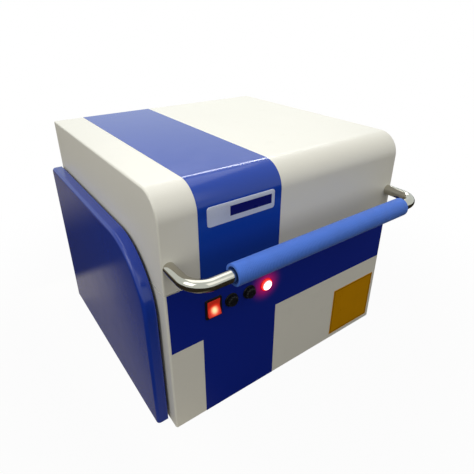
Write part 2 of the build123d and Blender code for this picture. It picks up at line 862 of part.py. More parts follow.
# ---------------------------------------------------------------- rocker switch
with BuildPart() as rocker_housing:
    recess_width = rocker_body_width - 2 * rocker_wall
    recess_height = rocker_body_height - 2 * rocker_wall
    with BuildSketch(upright(face_y)):
        with Locations((rocker_x, control_z)):
            RectangleRounded(bezel_width, bezel_height, bezel_corner)
    extrude(amount=bezel_thickness, taper=bezel_taper)
    with BuildSketch(upright(face_y)):
        with Locations((rocker_x, control_z)):
            Rectangle(rocker_body_width, rocker_body_height)
    extrude(amount=-rocker_body_depth)
    with BuildSketch(upright(bezel_y)):
        with Locations((rocker_x, control_z)):
            Rectangle(recess_width, recess_height)
    extrude(amount=-rocker_recess_depth, mode=Mode.SUBTRACT)
    with BuildSketch(sideways(rocker_x - rocker_body_width / 2)):
        with Locations((pivot_y, control_z)):
            Circle(rocker_pin_diameter / 2 + running_gap)
    extrude(amount=rocker_body_width, mode=Mode.SUBTRACT)

with BuildPart() as rocker_button:
    button_width = recess_width - 2 * rocker_side_gap
    button_end = recess_height / 2 - rocker_end_gap
    with BuildSketch(sideways(rocker_x - button_width / 2)):
        with Locations((pivot_y, control_z)):
            Polygon(
                (-rocker_nose, button_end),
                (-rocker_waist, 0),
                (-rocker_nose, -button_end),
                (rocker_shoulder, -button_end),
                (rocker_tail, -rocker_tail_height / 2),
                (rocker_tail, rocker_tail_height / 2),
                (rocker_shoulder, button_end),
                rotation=-rocker_tilt, align=None,
            )
    extrude(amount=button_width)
    with BuildSketch(sideways(rocker_x - button_width / 2 - rocker_pin_reach)):
        with Locations((pivot_y, control_z)):
            Circle(rocker_pin_diameter / 2)
    extrude(amount=button_width + 2 * rocker_pin_reach)

# ---------------------------------------------------------------- fuse holders and lamp
with BuildPart() as fuse_holders:
    with BuildSketch(upright(face_y)):
        with Locations(*fuse_points):
            Circle(fuse_flange_diameter / 2)
    extrude(amount=fuse_flange_thickness, taper=fuse_flange_taper)
    with BuildSketch(upright(face_y)):
        with Locations(*fuse_points):
            Circle(barrel_diameter / 2)
    extrude(amount=-fuse_barrel_length)
    with BuildSketch(upright(face_y - fuse_flange_thickness)):
        with Locations(*fuse_points):
            Circle(fuse_bore_diameter / 2)
    extrude(
        amount=-(fuse_flange_thickness + fuse_barrel_length - fuse_blind_end), mode=Mode.SUBTRACT,
    )


def fuse_cap(x):
    """Bayonet cap with a fluted rim and a screwdriver slot, on a stem that turns in the holder."""
    seat_y = face_y - fuse_flange_thickness - fuse_cap_gap
    with BuildPart() as cap:
        with BuildSketch(upright(seat_y)):
            with Locations((x, control_z)):
                Circle(fuse_cap_diameter / 2)
                with PolarLocations(fuse_cap_diameter / 2, fuse_flutes):
                    Circle(fuse_flute_diameter / 2, mode=Mode.SUBTRACT)
        extrude(amount=fuse_cap_length, taper=fuse_cap_taper)
        chamfer(cap.faces().sort_by(Axis.Y)[0].edges(), fuse_cap_chamfer)
        with BuildSketch(upright(seat_y - fuse_cap_length)):
            with Locations((x, control_z)):
                SlotOverall(fuse_slot_length, fuse_slot_width)
        extrude(amount=-fuse_slot_width, mode=Mode.SUBTRACT)
        with BuildSketch(upright(seat_y)):
            with Locations((x, control_z)):
                Circle(fuse_bore_diameter / 2 - running_gap)
        extrude(amount=-fuse_stem_length)
    return cap


fuse_cap_left, fuse_cap_right = [fuse_cap(x) for x in fuse_x]

with BuildPart() as panel_nuts:
    with BuildSketch(upright(front_y + sheet)):
        with Locations(*fuse_points, lamp_point):
            RegularPolygon(nut_diameter / 2, 6)
            Circle(barrel_diameter / 2 + slip_gap, mode=Mode.SUBTRACT)
    extrude(amount=-nut_thickness)

with BuildPart() as lamp_bezel:
    with BuildSketch(upright(face_y)):
        with Locations(lamp_point):
            Circle(lamp_diameter / 2)
    extrude(amount=lamp_bezel_height, taper=bezel_taper)
    with BuildSketch(upright(face_y)):
        with Locations(lamp_point):
            Circle(barrel_diameter / 2)
    extrude(amount=-lamp_barrel_length)
    with BuildSketch(upright(face_y - lamp_bezel_height)):
        with Locations(lamp_point):
            Circle(lamp_lens_diameter / 2 + slip_gap)
    extrude(amount=-lamp_lens_seat, mode=Mode.SUBTRACT)

with BuildPart() as lamp_lens:
    with BuildSketch(upright(face_y - lamp_bezel_height + lamp_lens_seat)):
        with Locations(lamp_point):
            Circle(lamp_lens_diameter / 2)
    extrude(amount=lamp_lens_seat + lamp_dome)
    fillet(lamp_lens.faces().sort_by(Axis.Y)[0].edges(), lamp_dome_radius)

# ---------------------------------------------------------------- deck and sample stage
with BuildPart() as deck_plate:
    deck_width = body_width - 2 * (hood_wall + deck_edge_gap)
    deck_depth = body_depth - 2 * (hood_wall + deck_edge_gap)
    key_middle = (key_x, key_y - key_thickness / 2)
    with BuildSketch(Plane.XY.offset(parting_z)):
        with Locations((0, body_y)):
            RectangleRounded(deck_width, deck_depth, deck_corner)
            Circle(deck_opening_diameter / 2, mode=Mode.SUBTRACT)
        with Locations(key_middle):
            Rectangle(
                key_width + 2 * key_slot_gap, key_thickness + 2 * key_slot_gap, mode=Mode.SUBTRACT,
            )
    extrude(amount=deck_thickness)

with BuildPart() as chamber_gasket:
    outer_spare = gasket_width - liner_wall
    with BuildSketch(Plane.XY.offset(deck_top)):
        with Locations((0, body_y)):
            RectangleRounded(liner_width + outer_spare, liner_depth + outer_spare, gasket_corner)
            RectangleRounded(
                liner_width + outer_spare - 2 * gasket_width,
                liner_depth + outer_spare - 2 * gasket_width,
                gasket_inner_corner, mode=Mode.SUBTRACT,
            )
    extrude(amount=gasket_height)

with BuildPart() as sample_plate:
    with BuildSketch(Plane.XY.offset(deck_top)):
        with Locations((0, body_y)):
            Circle(sample_plate_diameter / 2)
    extrude(amount=sample_plate_thickness)
    chamfer(sample_plate.faces().sort_by(Axis.Z)[-1].edges(), sample_plate_chamfer)
    with BuildSketch(Plane.XY.offset(stage_top)):
        with Locations((0, body_y)):
            Circle(window_recess_diameter / 2)
    extrude(amount=-window_recess_depth, mode=Mode.SUBTRACT)
    with BuildSketch(Plane.XY.offset(deck_top)):
        with Locations((0, body_y)):
            Circle(aperture_diameter / 2)
    extrude(amount=sample_plate_thickness, mode=Mode.SUBTRACT)

with BuildPart() as window_film:
    with BuildSketch(Plane.XY.offset(stage_top - window_recess_depth)):
        with Locations((0, body_y)):
            Circle(window_recess_diameter / 2 - fit_gap)
    extrude(amount=window_film_thickness)

with BuildPart() as window_ring:
    with BuildSketch(Plane.XY.offset(stage_top - window_recess_depth + window_film_thickness)):
        with Locations((0, body_y)):
            Circle(window_recess_diameter / 2 - fit_gap)
            Circle(aperture_diameter / 2, mode=Mode.SUBTRACT)
    extrude(amount=window_ring_height)
    chamfer(window_ring.faces().sort_by(Axis.Z)[-1].edges(), window_ring_chamfer)

with BuildPart() as interlock_switch:
    switch_width, switch_depth, switch_height = interlock_size
    with BuildSketch(Plane.XY.offset(parting_z)):
        with Locations(key_middle):
            RectangleRounded(switch_width, switch_depth, edge_radius)
    extrude(amount=-switch_height)
    with BuildSketch(Plane.XY.offset(parting_z)):
        with Locations(key_middle):
            Rectangle(key_width + 2 * key_slot_gap, key_thickness + 2 * key_slot_gap)
    extrude(amount=-interlock_slot_depth, mode=Mode.SUBTRACT)

# ---------------------------------------------------------------- measuring head
with BuildPart() as measuring_head:
    with BuildSketch(Plane.XY.offset(parting_z)):
        with Locations((0, body_y)):
            Circle(head_diameter / 2)
    extrude(amount=-head_height)
    with BuildSketch(Plane.XY.offset(parting_z)):
        with Locations((0, body_y)):
            Circle(head_bowl_diameter / 2)
    extrude(amount=-head_bowl_depth, mode=Mode.SUBTRACT)
    with BuildSketch(Plane.XY.offset(parting_z)):
        with Locations((0, body_y)):
            Circle(beam_diameter / 2)
    extrude(amount=-head_height, mode=Mode.SUBTRACT)
    with BuildSketch(towards_detector(detector_start)):
        Circle(detector_nose_diameter / 2 + bore_gap)
    extrude(amount=detector_step, mode=Mode.SUBTRACT)
    with BuildSketch(towards_detector(detector_step)):
        Circle(detector_diameter / 2 + bore_gap)
    extrude(amount=detector_end, mode=Mode.SUBTRACT)
    with BuildSketch(towards_camera(camera_start)):
        Circle(camera_barrel_diameter / 2 + bore_gap)
    extrude(amount=camera_step, mode=Mode.SUBTRACT)

with BuildPart() as detector:
    with BuildSketch(towards_detector(detector_start)):
        Circle(detector_nose_diameter / 2)
    extrude(amount=detector_step - detector_start)
    with BuildSketch(towards_detector(detector_step)):
        Circle(detector_diameter / 2)
    extrude(amount=detector_end - detector_step)
    # cooling fins at the lower end
    for fin in range(detector_fins):
        with BuildSketch(towards_detector(detector_end - detector_fin_thickness - fin * detector_fin_pitch)):
            Circle(detector_fin_diameter / 2)
        extrude(amount=detector_fin_thickness)

with BuildPart() as detector_preamp:
    with BuildSketch(towards_detector(detector_end)):
        RectangleRounded(preamp_width, preamp_width, preamp_corner)
    extrude(amount=preamp_length)

with BuildPart() as camera:
    with BuildSketch(towards_camera(camera_start)):
        Circle(camera_barrel_diameter / 2)
    extrude(amount=camera_step - camera_start)
    with BuildSketch(towards_camera(camera_step)):
        RectangleRounded(camera_width, camera_width, camera_corner)
    extrude(amount=camera_length)
    with BuildSketch(towards_camera(camera_start)):
        Circle(camera_sight_diameter / 2)
    extrude(amount=camera_sight_diameter, mode=Mode.SUBTRACT)

# ---------------------------------------------------------------- filter wheel
with BuildPart() as filter_wheel:
    with BuildSketch(Plane.XY.offset(wheel_bottom)):
        with Locations((wheel_x, body_y)):
            Circle(wheel_diameter / 2)
            with PolarLocations(wheel_pitch_diameter / 2, wheel_holes):
                Circle(wheel_hole_diameter / 2, mode=Mode.SUBTRACT)
    extrude(amount=wheel_thickness)
    with BuildSketch(Plane.XY.offset(wheel_bottom)):
        with Locations((wheel_x, body_y)):
            Circle(hub_diameter / 2)
    extrude(amount=-hub_height)
    with BuildSketch(Plane.XY.offset(wheel_bottom - hub_height)):
        with Locations((wheel_x, body_y)):
            Circle(shaft_diameter / 2)
    extrude(amount=-shaft_length)

with BuildPart() as filter_foils:
    foil_step = 360 / wheel_holes
    with BuildSketch(Plane.XY.offset(wheel_top)):
        with Locations((wheel_x, body_y)):
            with PolarLocations(
                wheel_pitch_diameter / 2, wheel_holes - 1, start_angle=foil_step,
                angular_range=360 - 2 * foil_step, endpoint=True,
            ):
                Circle(foil_diameter / 2)
    extrude(amount=foil_thickness)

with BuildPart() as filter_motor:
    with BuildSketch(Plane.XY.offset(motor_top)):
        with Locations((wheel_x, body_y)):
            RectangleRounded(motor_width, motor_width, motor_corner)
    extrude(amount=-motor_height)
    with BuildSketch(Plane.XY.offset(motor_top)):
        with Locations((wheel_x, body_y)):
            Circle(shaft_diameter / 2 + running_gap)
    extrude(amount=-shaft_length, mode=Mode.SUBTRACT)

with BuildPart() as motor_pedestal:
    pedestal_top = motor_top - motor_height
    half_width = motor_width / 2
    with BuildSketch(sideways(wheel_x - half_width)):
        with BuildLine():
            Polyline(
                (body_y - half_width - pedestal_foot, bench_top),
                (body_y - half_width - pedestal_foot, bench_top + pedestal_wall),
                (body_y - half_width, bench_top + pedestal_wall),
                (body_y - half_width, pedestal_top),
                (body_y, pedestal_top),
                (body_y, pedestal_top - pedestal_wall),
                (body_y - half_width + pedestal_wall, pedestal_top - pedestal_wall),
                (body_y - half_width + pedestal_wall, bench_top),
                (body_y - half_width - pedestal_foot, bench_top),
            )
        make_face()
    extrude(amount=motor_width)
    mirror(about=Plane.XZ.offset(-body_y))

# ---------------------------------------------------------------- X-ray tube and bench
with BuildPart() as xray_tube:
    beam_front = body_y - tube_front
    with BuildSketch(upright(beam_front)):
        with Locations((0, tube_z)):
            Circle(tube_diameter / 2)
    extrude(amount=-tube_length)
    chamfer(xray_tube.edges().filter_by(GeomType.CIRCLE), tube_edge)
    with BuildSketch(upright(beam_front)):
        with Locations((0, tube_z)):
            Circle(tube_cap_diameter / 2)
    extrude(amount=tube_cap_length)
    with BuildSketch(upright(beam_front + tube_length)):
        with Locations((0, tube_z)):
            Circle(tube_cap_diameter / 2)
    extrude(amount=-tube_cap_length)
    with BuildSketch(Plane.XY.offset(tube_z)):
        with Locations((0, body_y)):
            Circle(tube_port_diameter / 2)
    extrude(amount=tube_diameter / 2 + tube_port_height)

with BuildPart() as tube_saddles:
    for place in saddle_places:
        with BuildSketch(upright(body_y + place + saddle_length / 2)):
            with Locations((0, bench_top)):
                Rectangle(saddle_width, tube_z - bench_top, align=(Align.CENTER, Align.MIN))
            with Locations((0, tube_z)):
                Circle(tube_diameter / 2 + bore_gap, mode=Mode.SUBTRACT)
        extrude(amount=saddle_length)

with BuildPart() as optics_bench:
    with BuildSketch(Plane.XY.offset(bench_bottom)):
        with Locations((0, body_y)):
            RectangleRounded(bench_width, bench_depth, edge_radius)
    extrude(amount=bench_thickness)
    with BuildSketch(Plane.XY.offset(pan_top)):
        with Locations(*post_points):
            Circle(bench_post_diameter / 2)
    extrude(amount=bench_bottom - pan_top)
    with BuildSketch(Plane.XY.offset(bench_top)):
        with Locations(*board_post_points):
            Circle(board_post_diameter / 2)
    extrude(amount=board_lift)

# ---------------------------------------------------------------- electronics
with BuildPart() as hv_supply:
    hv_width, hv_depth, hv_height = hv_size
    with BuildSketch(Plane.XY.offset(pan_top)):
        with Locations((hv_x, body_y)):
            RectangleRounded(hv_width, hv_depth, hv_corner)
    extrude(amount=hv_height)
    chamfer(hv_supply.faces().sort_by(Axis.Z)[-1].edges(), hv_edge)
    with BuildSketch(Plane.XY.offset(pan_top + hv_height)):
        with Locations((hv_x, body_y + hv_socket_setback)):
            Circle(hv_socket_diameter / 2)
    extrude(amount=hv_socket_height)

with BuildPart() as power_supply:
    supply_width, supply_depth, supply_height = supply_size
    with BuildSketch(Plane.XY.offset(pan_top)):
        with Locations((supply_x, body_y)):
            Rectangle(supply_width, supply_depth)
    extrude(amount=supply_height)
    with BuildSketch(Plane.XY.offset(pan_top + supply_height)):
        with Locations((supply_x, body_y)):
            with GridLocations(*supply_slot_pitch, *supply_slots):
                SlotOverall(*supply_slot)
    extrude(amount=-supply_slot_depth, mode=Mode.SUBTRACT)

with BuildPart() as pulse_board:
    board_width, board_depth, board_thickness = board_size
    can_width, can_depth, can_height = board_can
    with BuildSketch(Plane.XY.offset(bench_top + board_lift)):
        with Locations((board_x, body_y)):
            Rectangle(board_width, board_depth)
    extrude(amount=board_thickness)
    with BuildSketch(Plane.XY.offset(bench_top + board_lift + board_thickness)):
        with Locations((board_x, body_y - board_can_offset), (board_x, body_y + board_can_offset)):
            Rectangle(can_width, can_depth)
    extrude(amount=can_height)

# ---------------------------------------------------------------- rear panel
with BuildPart() as rear_panel:
    fan_centre = (fan_x, rear_panel_z)
    inlet_centre = (inlet_x, floor_z + inlet_rise)
    usb_centre = (usb_x, floor_z + usb_rise)
    with BuildSketch(upright(panel_outer_y)):
        with Locations((0, rear_panel_z)):
            RectangleRounded(rear_panel_width, rear_panel_height, rear_panel_corner)
        with Locations(fan_centre):
            Circle(fan_bore / 2, mode=Mode.SUBTRACT)
        with Locations(inlet_centre):
            Rectangle(inlet_body[0] + 2 * fit_gap, inlet_body[1] + 2 * fit_gap, mode=Mode.SUBTRACT)
        with Locations(usb_centre):
            Rectangle(usb_shell[0] + 2 * fit_gap, usb_shell[1] + 2 * fit_gap, mode=Mode.SUBTRACT)
        with Locations((rear_vent_x, rear_panel_z)):
            with GridLocations(rear_vent_pitch, rear_vent_pitch, rear_vents, 1):
                Rectangle(*rear_vent, mode=Mode.SUBTRACT)
    extrude(amount=sheet)
    extrude(
        screw_holes(rear_screw_points, upright(panel_outer_y), rear_screw_diameter),
        amount=sheet, mode=Mode.SUBTRACT,
    )

rear_panel_screws = screws(
    [(-x, z) for x, z in rear_screw_points],
    Plane(origin=(0, panel_outer_y, 0), x_dir=(-1, 0, 0), z_dir=(0, 1, 0)),
    rear_screw_head, rear_screw_head_height, rear_screw_diameter, 2 * sheet + rear_screw_spare,
)

with BuildPart() as mains_inlet:
    with BuildSketch(upright(panel_outer_y)):
        with Locations(inlet_centre):
            RectangleRounded(*inlet_flange, inlet_corner)
    extrude(amount=-inlet_flange_thickness)
    with BuildSketch(upright(panel_outer_y)):
        with Locations(inlet_centre):
            Rectangle(*inlet_body)
    extrude(amount=inlet_depth)
    # socket with two cut corners, open to the rear
    with BuildSketch(upright(panel_outer_y + inlet_flange_thickness)) as socket:
        with Locations(inlet_centre):
            Rectangle(*inlet_recess)
        chamfer(socket.vertices().group_by(Axis.Z)[-1], inlet_recess_chamfer)
    extrude(amount=inlet_recess_depth, mode=Mode.SUBTRACT)
    with BuildSketch(upright(panel_outer_y + inlet_flange_thickness - inlet_recess_depth)):
        with Locations(inlet_centre):
            with Locations(*[(side * inlet_pin_spacing, -inlet_pin_rise) for side in (-1, 1)]):
                Rectangle(*inlet_pin)
            with Locations((0, inlet_pin_rise)):
                Rectangle(*inlet_pin)
    extrude(amount=-inlet_pin_length)

with BuildPart() as usb_port:
    with BuildSketch(upright(panel_outer_y)):
        with Locations(usb_centre):
            RectangleRounded(*usb_flange, inlet_corner)
    extrude(amount=-usb_flange_thickness)
    with BuildSketch(upright(panel_outer_y)):
        with Locations(usb_centre):
            Rectangle(*usb_shell)
    extrude(amount=usb_depth)
    with BuildSketch(upright(panel_outer_y + usb_flange_thickness)):
        with Locations(usb_centre):
            Rectangle(*usb_opening)
    extrude(amount=usb_recess_depth, mode=Mode.SUBTRACT)
    with BuildSketch(upright(panel_outer_y + usb_flange_thickness - usb_recess_depth)):
        with Locations(usb_centre):
            Rectangle(*usb_tongue)
    extrude(amount=-usb_tongue_length)

# ---------------------------------------------------------------- fan
fan_axis_plane = Plane(origin=(fan_x, rear_y, rear_panel_z), x_dir=(1, 0, 0), z_dir=(0, -1, 0))

with BuildPart() as fan_frame:
    with BuildSketch(fan_axis_plane):
        RectangleRounded(fan_size, fan_size, fan_corner)
        Circle(fan_bore / 2, mode=Mode.SUBTRACT)
    extrude(amount=fan_thickness)
    # motor mount and its struts at the inner end
    with BuildSketch(fan_axis_plane.offset(fan_thickness - fan_mount_thickness)):
        Circle(fan_mount_diameter / 2)
        with PolarLocations((fan_bore + fan_mount_diameter) / 4, fan_struts, start_angle=guard_spokes[0]):
            Rectangle((fan_bore - fan_mount_diameter) / 2 + fan_strut, fan_strut)
    extrude(amount=fan_mount_thickness)
    with BuildSketch(fan_axis_plane.offset(fan_thickness - fan_mount_thickness)):
        Circle(fan_pin_diameter / 2)
    extrude(amount=-fan_pin_length)

with BuildPart() as fan_rotor:
    hub_plane = fan_axis_plane.offset(fan_thickness - fan_mount_thickness - fan_hub_gap)
    with BuildSketch(hub_plane):
        Circle(fan_hub_diameter / 2)
    extrude(amount=-fan_hub_length)
    chamfer(fan_rotor.faces().sort_by(Axis.Y)[-1].edges(), fan_hub_edge)
    root_radius = fan_hub_diameter / 2 - fan_blade_root
    tip_radius = fan_bore / 2 - fan_tip_gap
    blade_centre = hub_plane.offset(-fan_hub_length / 2).origin
    for blade in range(fan_blades):
        turn = radians(360 / fan_blades * blade)
        spoke = Vector(cos(turn), 0, sin(turn))
        for radius, pitch in zip((root_radius, tip_radius), fan_blade_pitch):
            with BuildSketch(Plane(origin=blade_centre + spoke * radius, x_dir=(0, 1, 0), z_dir=spoke)):
                Ellipse(fan_blade_chord / 2, fan_blade_thickness / 2, rotation=pitch)
        loft()
    with BuildSketch(hub_plane):
        Circle(fan_pin_diameter / 2 + running_gap)
    extrude(amount=-(fan_pin_length - fan_hub_gap + fan_pin_end_gap), mode=Mode.SUBTRACT)

with BuildPart() as fan_guard:
    with BuildSketch(upright(panel_outer_y)):
        with Locations(fan_centre):
            for radius in guard_rings:
                Circle(radius + guard_wire / 2)
                Circle(radius - guard_wire / 2, mode=Mode.SUBTRACT)
            Circle(guard_hub_diameter / 2)
            with GridLocations(guard_pad_pitch, guard_pad_pitch, 2, 2):
                Circle(guard_pad_diameter / 2)
            for turn in guard_spokes:
                Rectangle(guard_pad_pitch * 2**0.5, guard_wire, rotation=turn)
    extrude(amount=-guard_thickness)

# ---------------------------------------------------------------- files
subparts = {
    "cabinet_shell": cabinet_shell,
    "chassis_pan": chassis_pan,
    "feet": feet,
    "foot_screws": foot_screws,
    "front_stripe": front_stripe,
    "label_plate": label_plate,
    "side_panel_left": side_panel_left,
    "side_panel_right": side_panel_right,
    "side_panel_screws": side_panel_screws,
    "hood_shell": hood_shell,
    "hood_stripe": hood_stripe,
    "nameplate": nameplate,
    "shield_liner": shield_liner,
    "liner_screws": liner_screws,
    "chamber_lamp": chamber_lamp,
    "interlock_key": interlock_key,
    "handle_tube": handle_tube,
    "handle_inserts": handle_inserts,
    "handle_bolts": handle_bolts,
    "handle_grip": handle_grip,
    "hinge_leaves_base": hinge_leaves_base,
    "hinge_leaves_lid": hinge_leaves_lid,
    "hinge_pins": hinge_pins,
    "hinge_screws_base": hinge_screws_base,
    "hinge_screws_lid": hinge_screws_lid,
    "rocker_housing": rocker_housing,
    "rocker_button": rocker_button,
    "fuse_holders": fuse_holders,
    "fuse_cap_left": fuse_cap_left,
    "fuse_cap_right": fuse_cap_right,
    "panel_nuts": panel_nuts,
    "lamp_bezel": lamp_bezel,
    "lamp_lens": lamp_lens,
    "deck_plate": deck_plate,
    "chamber_gasket": chamber_gasket,
    "sample_plate": sample_plate,
    "window_film": window_film,
    "window_ring": window_ring,
    "interlock_switch": interlock_switch,
    "measuring_head": measuring_head,
    "detector": detector,
    "detector_preamp": detector_preamp,
    "camera": camera,
    "filter_wheel": filter_wheel,
    "filter_foils": filter_foils,
    "filter_motor": filter_motor,
    "motor_pedestal": motor_pedestal,
    "xray_tube": xray_tube,
    "tube_saddles": tube_saddles,
    "optics_bench": optics_bench,
    "hv_supply": hv_supply,
    "power_supply": power_supply,
    "pulse_board": pulse_board,
    "rear_panel": rear_panel,
    "rear_panel_screws": rear_panel_screws,
    "mains_inlet": mains_inlet,
    "usb_port": usb_port,
    "fan_frame": fan_frame,
    "fan_rotor": fan_rotor,
    "fan_guard": fan_guard,
}
os.makedirs("parts", exist_ok=True)
for label, subpart in subparts.items():
    subpart.part.label = label
    export_step(subpart.part, f"parts/{label}.step")
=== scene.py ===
"""Looks of the benchtop X-ray fluorescence analyser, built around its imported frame."""

import json
import logging
import math
import random
from abc import ABC, abstractmethod
from dataclasses import dataclass, field
from enum import Enum
from functools import cache
from typing import Callable, Sequence

import bmesh
import bpy
from mathutils import Matrix, Vector

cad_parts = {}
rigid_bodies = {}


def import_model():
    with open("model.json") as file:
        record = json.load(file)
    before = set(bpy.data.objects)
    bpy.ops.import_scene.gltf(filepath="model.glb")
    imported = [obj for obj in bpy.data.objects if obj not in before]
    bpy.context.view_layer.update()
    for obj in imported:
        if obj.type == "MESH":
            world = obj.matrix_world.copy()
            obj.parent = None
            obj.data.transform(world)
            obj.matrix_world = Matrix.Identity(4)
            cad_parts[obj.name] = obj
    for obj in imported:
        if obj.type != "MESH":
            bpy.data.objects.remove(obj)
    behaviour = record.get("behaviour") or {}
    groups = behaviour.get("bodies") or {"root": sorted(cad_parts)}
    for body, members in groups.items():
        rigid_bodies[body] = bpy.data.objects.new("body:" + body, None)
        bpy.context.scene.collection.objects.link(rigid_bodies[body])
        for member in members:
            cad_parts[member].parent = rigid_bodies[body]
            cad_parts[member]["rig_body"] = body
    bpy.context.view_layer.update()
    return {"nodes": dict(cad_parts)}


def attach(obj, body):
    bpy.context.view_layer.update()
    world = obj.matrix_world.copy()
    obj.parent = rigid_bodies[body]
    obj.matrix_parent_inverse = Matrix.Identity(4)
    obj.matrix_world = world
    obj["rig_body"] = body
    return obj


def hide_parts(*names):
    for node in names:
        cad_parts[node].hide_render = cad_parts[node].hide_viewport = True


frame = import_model()

log = logging.getLogger("analyser")
Colour = tuple[float, float, float]
Place = tuple[float, float, float]
Span = tuple[float, float]
Element = bmesh.types.BMEdge | bmesh.types.BMFace

FRONT_Y = -0.17165  # outer side of the hood's front, in metres
MIDDLE_Y = 0.02835  # middle of the body from front to back
CLOSE = 1e-6  # points nearer than this count as one
SHARP = 35.0  # an edge that turns by more than this many degrees stays an edge
FLAT = 0.5  # faces that meet within this many degrees become one


# ---------------------------------------------------------------- shader expressions
class Value:
    """A number that varies over a surface; arithmetic on it adds Math nodes to its shader."""

    def __init__(self, shader: "Shader", socket: bpy.types.NodeSocket) -> None:
        """Wraps a socket.

        Args:
            shader: the shader that the socket belongs to.
            socket: an output socket that carries a number.
        """
        self.shader = shader
        self.socket = socket

    def compute(self, operation: str, first: "Value | float", second: "Value | float") -> "Value":
        """Adds one Math node.

        Args:
            operation: the node's operation.
            first: its first value.
            second: its second value.

        Returns:
            The node's result.
        """
        node = self.shader.node("ShaderNodeMath", {"operation": operation}, {0: first, 1: second})
        return Value(self.shader, node.outputs[0])

    def __add__(self, other: "Value | float") -> "Value":
        """Self plus other."""
        return self.compute("ADD", self, other)

    def __sub__(self, other: "Value | float") -> "Value":
        """Self minus other."""
        return self.compute("SUBTRACT", self, other)

    def __rsub__(self, other: "Value | float") -> "Value":
        """Other minus self."""
        return self.compute("SUBTRACT", other, self)

    def __mul__(self, other: "Value | float") -> "Value":
        """Self times other."""
        return self.compute("MULTIPLY", self, other)

    def __truediv__(self, other: "Value | float") -> "Value":
        """Self divided by other."""
        return self.compute("DIVIDE", self, other)

    def __pow__(self, other: "Value | float") -> "Value":
        """Self to the power of other."""
        return self.compute("POWER", self, other)

    __radd__ = __add__
    __rmul__ = __mul__

    def least(self, other: "Value | float") -> "Value":
        """The smaller of self and other."""
        return self.compute("MINIMUM", self, other)

    def most(self, other: "Value | float") -> "Value":
        """The larger of self and other."""
        return self.compute("MAXIMUM", self, other)

    def repeat(self, pitch: float) -> "Value":
        """Distance from the nearest whole number of pitches."""
        return self.compute("PINGPONG", self, pitch / 2)

    def rise(self, start: float, end: float) -> "Value":
        """Smooth rise from 0 at start to 1 at end; a start above the end gives a fall."""
        settings = {"interpolation_type": "SMOOTHSTEP", "clamp": True}
        low, high = min(start, end), max(start, end)
        node = self.shader.node("ShaderNodeMapRange", settings, {0: self, 1: low, 2: high})
        risen = Value(self.shader, node.outputs[0])
        return risen if start < end else 1.0 - risen


class Nodes:
    """A node tree in the making."""

    def __init__(self, tree: bpy.types.NodeTree) -> None:
        """Empties the tree.

        Args:
            tree: the tree of a material or of the world.
        """
        self.tree = tree
        self.tree.nodes.clear()

    def node(self, kind: str, settings: dict, inputs: dict) -> bpy.types.Node:
        """Adds one node.

        Args:
            kind: the node's type.
            settings: its own properties, set first.
            inputs: values, sockets or Values of its input sockets, by name or number.

        Returns:
            The node.
        """
        node = self.tree.nodes.new(kind)
        for key, value in settings.items():
            setattr(node, key, value)
        for key, value in inputs.items():
            source = value.socket if isinstance(value, Value) else value
            if isinstance(source, bpy.types.NodeSocket):
                self.tree.links.new(source, node.inputs[key])
            elif isinstance(source, tuple) and len(node.inputs[key].default_value) == 4:
                node.inputs[key].default_value = (*source, 1.0)
            else:
                node.inputs[key].default_value = source
        return node


